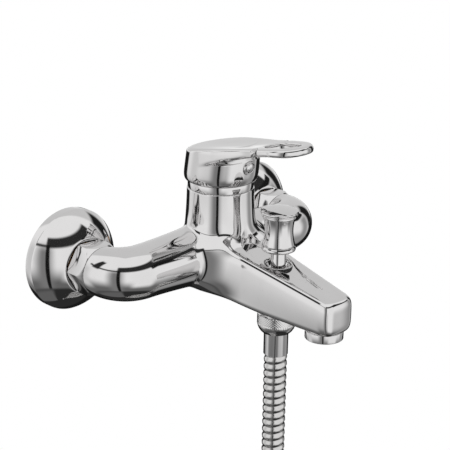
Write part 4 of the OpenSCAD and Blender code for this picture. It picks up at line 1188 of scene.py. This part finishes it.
# Camera: where it stands, in metres, and which way it looks, in degrees
CAMERA_PLACE = (-0.53373, -0.58992, 0.27837)
CAMERA_TURN = 45.205
CAMERA_FALL = 19.907
CAMERA_ROLL = 0.858
SENSOR_WIDTH = 36
LENS = 106.42
LENS_SHIFT = (-0.00679, 0.06224)
FLOOR_Z = -0.375


def step_between(tree, value, start, end, low=0.0, high=1.0):
    """Goes smoothly from low to high as an angle goes from start to end, in degrees."""
    return add(tree, "ShaderNodeMapRange", {"interpolation_type": "SMOOTHSTEP"}, Value=value,
               From_Min=math.radians(start), From_Max=math.radians(end), To_Min=low,
               To_Max=high).outputs["Result"]


class MIXER_OT_stage(bpy.types.Operator):
    """Sets the camera, the white studio and the floor"""

    bl_idname = "mixer.stage"
    bl_label = "Stage"

    def execute(self, context):
        scene = context.scene
        self.camera(scene)
        self.floor(scene)
        self.studio(scene)
        scene.view_settings.view_transform = "Standard"
        return {"FINISHED"}

    def camera(self, scene):
        """Camera at the photograph's viewing angle."""
        data = bpy.data.cameras.new("camera")
        data.sensor_width = SENSOR_WIDTH
        data.lens = LENS
        data.shift_x, data.shift_y = LENS_SHIFT
        data.clip_end = 20
        camera = bpy.data.objects.new("camera", data)
        scene.collection.objects.link(camera)
        turn, fall = math.radians(CAMERA_TURN), math.radians(CAMERA_FALL)
        ahead = Vector((math.sin(turn) * math.cos(fall), math.cos(turn) * math.cos(fall),
                        -math.sin(fall)))
        camera.location = CAMERA_PLACE
        camera.rotation_mode = "QUATERNION"
        roll = Quaternion((0, 0, 1), math.radians(CAMERA_ROLL))
        camera.rotation_quaternion = ahead.to_track_quat("-Z", "Y") @ roll
        scene.camera = camera

    def floor(self, scene):
        """Pale floor that the camera sees as white and the chrome doesn't see."""
        floor = bmesh.new()
        bmesh.ops.create_grid(floor, x_segments=1, y_segments=1, size=3)
        bmesh.ops.translate(floor, vec=(0, 0, FLOOR_Z), verts=floor.verts)
        ground = bpy.data.objects.new("floor", mesh_of(floor, "floor"))
        scene.collection.objects.link(ground)
        ground.visible_glossy = False
        material, tree = new_material("paper_floor_matt")
        clouds = pattern(tree, scale_mm=120, detail=2)
        shader = add(tree, "ShaderNodeBsdfPrincipled", None, Roughness=0.9,
                     Base_Color=tint(tree, clouds, finishes().floor, low=0.99, high=1.0))
        white = add(tree, "ShaderNodeEmission", None, Color=(1, 1, 1, 1), Strength=1.0)
        rays = add(tree, "ShaderNodeLightPath")
        mixed = add(tree, "ShaderNodeMixShader", None, Fac=rays.outputs["Is Camera Ray"],
                    i1=shader.outputs["BSDF"], i2=white.outputs["Emission"])
        add(tree, "ShaderNodeOutputMaterial", None, Surface=mixed.outputs["Shader"])
        ground.data.materials.append(material)

    def studio(self, scene):
        """White studio: white to the camera, soft boxes with dark gaps to the chrome."""
        world = bpy.data.worlds.new("studio")
        scene.world = world
        world.use_nodes = True
        tree = world.node_tree
        tree.nodes.clear()
        place = add(tree, "ShaderNodeTexCoord")
        axes = add(tree, "ShaderNodeSeparateXYZ", None, Vector=place.outputs["Generated"])
        turn = add(tree, "ShaderNodeMath", {"operation": "ARCTAN2"}, i0=axes.outputs["X"],
                   i1=axes.outputs["Y"]).outputs["Value"]
        rise = add(tree, "ShaderNodeMath", {"operation": "ARCSINE"},
                   i0=axes.outputs["Z"]).outputs["Value"]
        level = step_between(tree, rise, LEVEL_START, LEVEL_END, LOW_LEVEL, HIGH_LEVEL)
        for centre, half, low, high, soft, bright in STUDIO_GAPS:
            aside = add(tree, "ShaderNodeMath", {"operation": "SUBTRACT"}, i0=turn,
                        i1=math.radians(centre)).outputs["Value"]
            aside = add(tree, "ShaderNodeMath", {"operation": "WRAP"}, i0=aside, i1=math.pi,
                        i2=-math.pi).outputs["Value"]
            aside = add(tree, "ShaderNodeMath", {"operation": "ABSOLUTE"},
                        i0=aside).outputs["Value"]
            mask = step_between(tree, aside, half + soft, half - soft)
            for side in (step_between(tree, rise, low - soft, low + soft),
                         step_between(tree, rise, high + soft, high - soft)):
                mask = add(tree, "ShaderNodeMath", {"operation": "MULTIPLY"}, i0=mask,
                           i1=side).outputs["Value"]
            level = add(tree, "ShaderNodeMix", {"data_type": "FLOAT"}, Factor=mask, A=level,
                        B=bright).outputs["Result"]
        rays = add(tree, "ShaderNodeLightPath")
        plain = add(tree, "ShaderNodeMix", {"data_type": "FLOAT"}, A=PLAIN_LIGHT, B=1.0,
                    Factor=rays.outputs["Is Camera Ray"]).outputs["Result"]
        seen = add(tree, "ShaderNodeMix", {"data_type": "FLOAT"}, A=plain, B=level,
                   Factor=rays.outputs["Is Glossy Ray"]).outputs["Result"]
        light = add(tree, "ShaderNodeBackground", None, Color=(1, 1, 1, 1), Strength=seen)
        add(tree, "ShaderNodeOutputWorld", None, Surface=light.outputs["Background"])


class MixerPanel(bpy.types.Panel):
    """The mixer's pieces and their settings"""

    bl_idname = "MIXER_PT_panel"
    bl_label = "Bath mixer"
    bl_space_type = "VIEW_3D"
    bl_region_type = "UI"
    bl_category = "Mixer"

    def draw(self, context):
        for step in STEPS:
            self.layout.operator(step)
        for group, names in (("mixer_sizes", MixerSizes), ("mixer_finishes", MixerFinishes)):
            box = self.layout.box()
            for name in names.__annotations__:
                box.prop(getattr(context.scene, group), name)


STEPS = ["mixer.stage", "mixer.hose", "mixer.body", "mixer.lever", "mixer.rings", "mixer.button",
         "mixer.diverter", "mixer.aerator", "mixer.unions", "mixer.plates", "mixer.nuts",
         "mixer.hose_ends", "mixer.inner_parts"]
CLASSES = (MixerSizes, MixerFinishes, MIXER_OT_stage, MIXER_OT_hose, MIXER_OT_body,
           MIXER_OT_lever, MIXER_OT_rings, MIXER_OT_button, MIXER_OT_diverter, MIXER_OT_aerator,
           MIXER_OT_unions, MIXER_OT_plates, MIXER_OT_nuts, MIXER_OT_hose_ends,
           MIXER_OT_inner_parts, MixerPanel)


def register():
    for item in CLASSES:
        bpy.utils.register_class(item)
    bpy.types.Scene.mixer_sizes = bpy.props.PointerProperty(type=MixerSizes)
    bpy.types.Scene.mixer_finishes = bpy.props.PointerProperty(type=MixerFinishes)


def unregister():
    del bpy.types.Scene.mixer_finishes
    del bpy.types.Scene.mixer_sizes
    for item in reversed(CLASSES):
        bpy.utils.unregister_class(item)


def main():
    register()
    for step in STEPS:
        group, name = step.split(".")
        getattr(getattr(bpy.ops, group), name)()


if __name__ == "__main__":
    main()
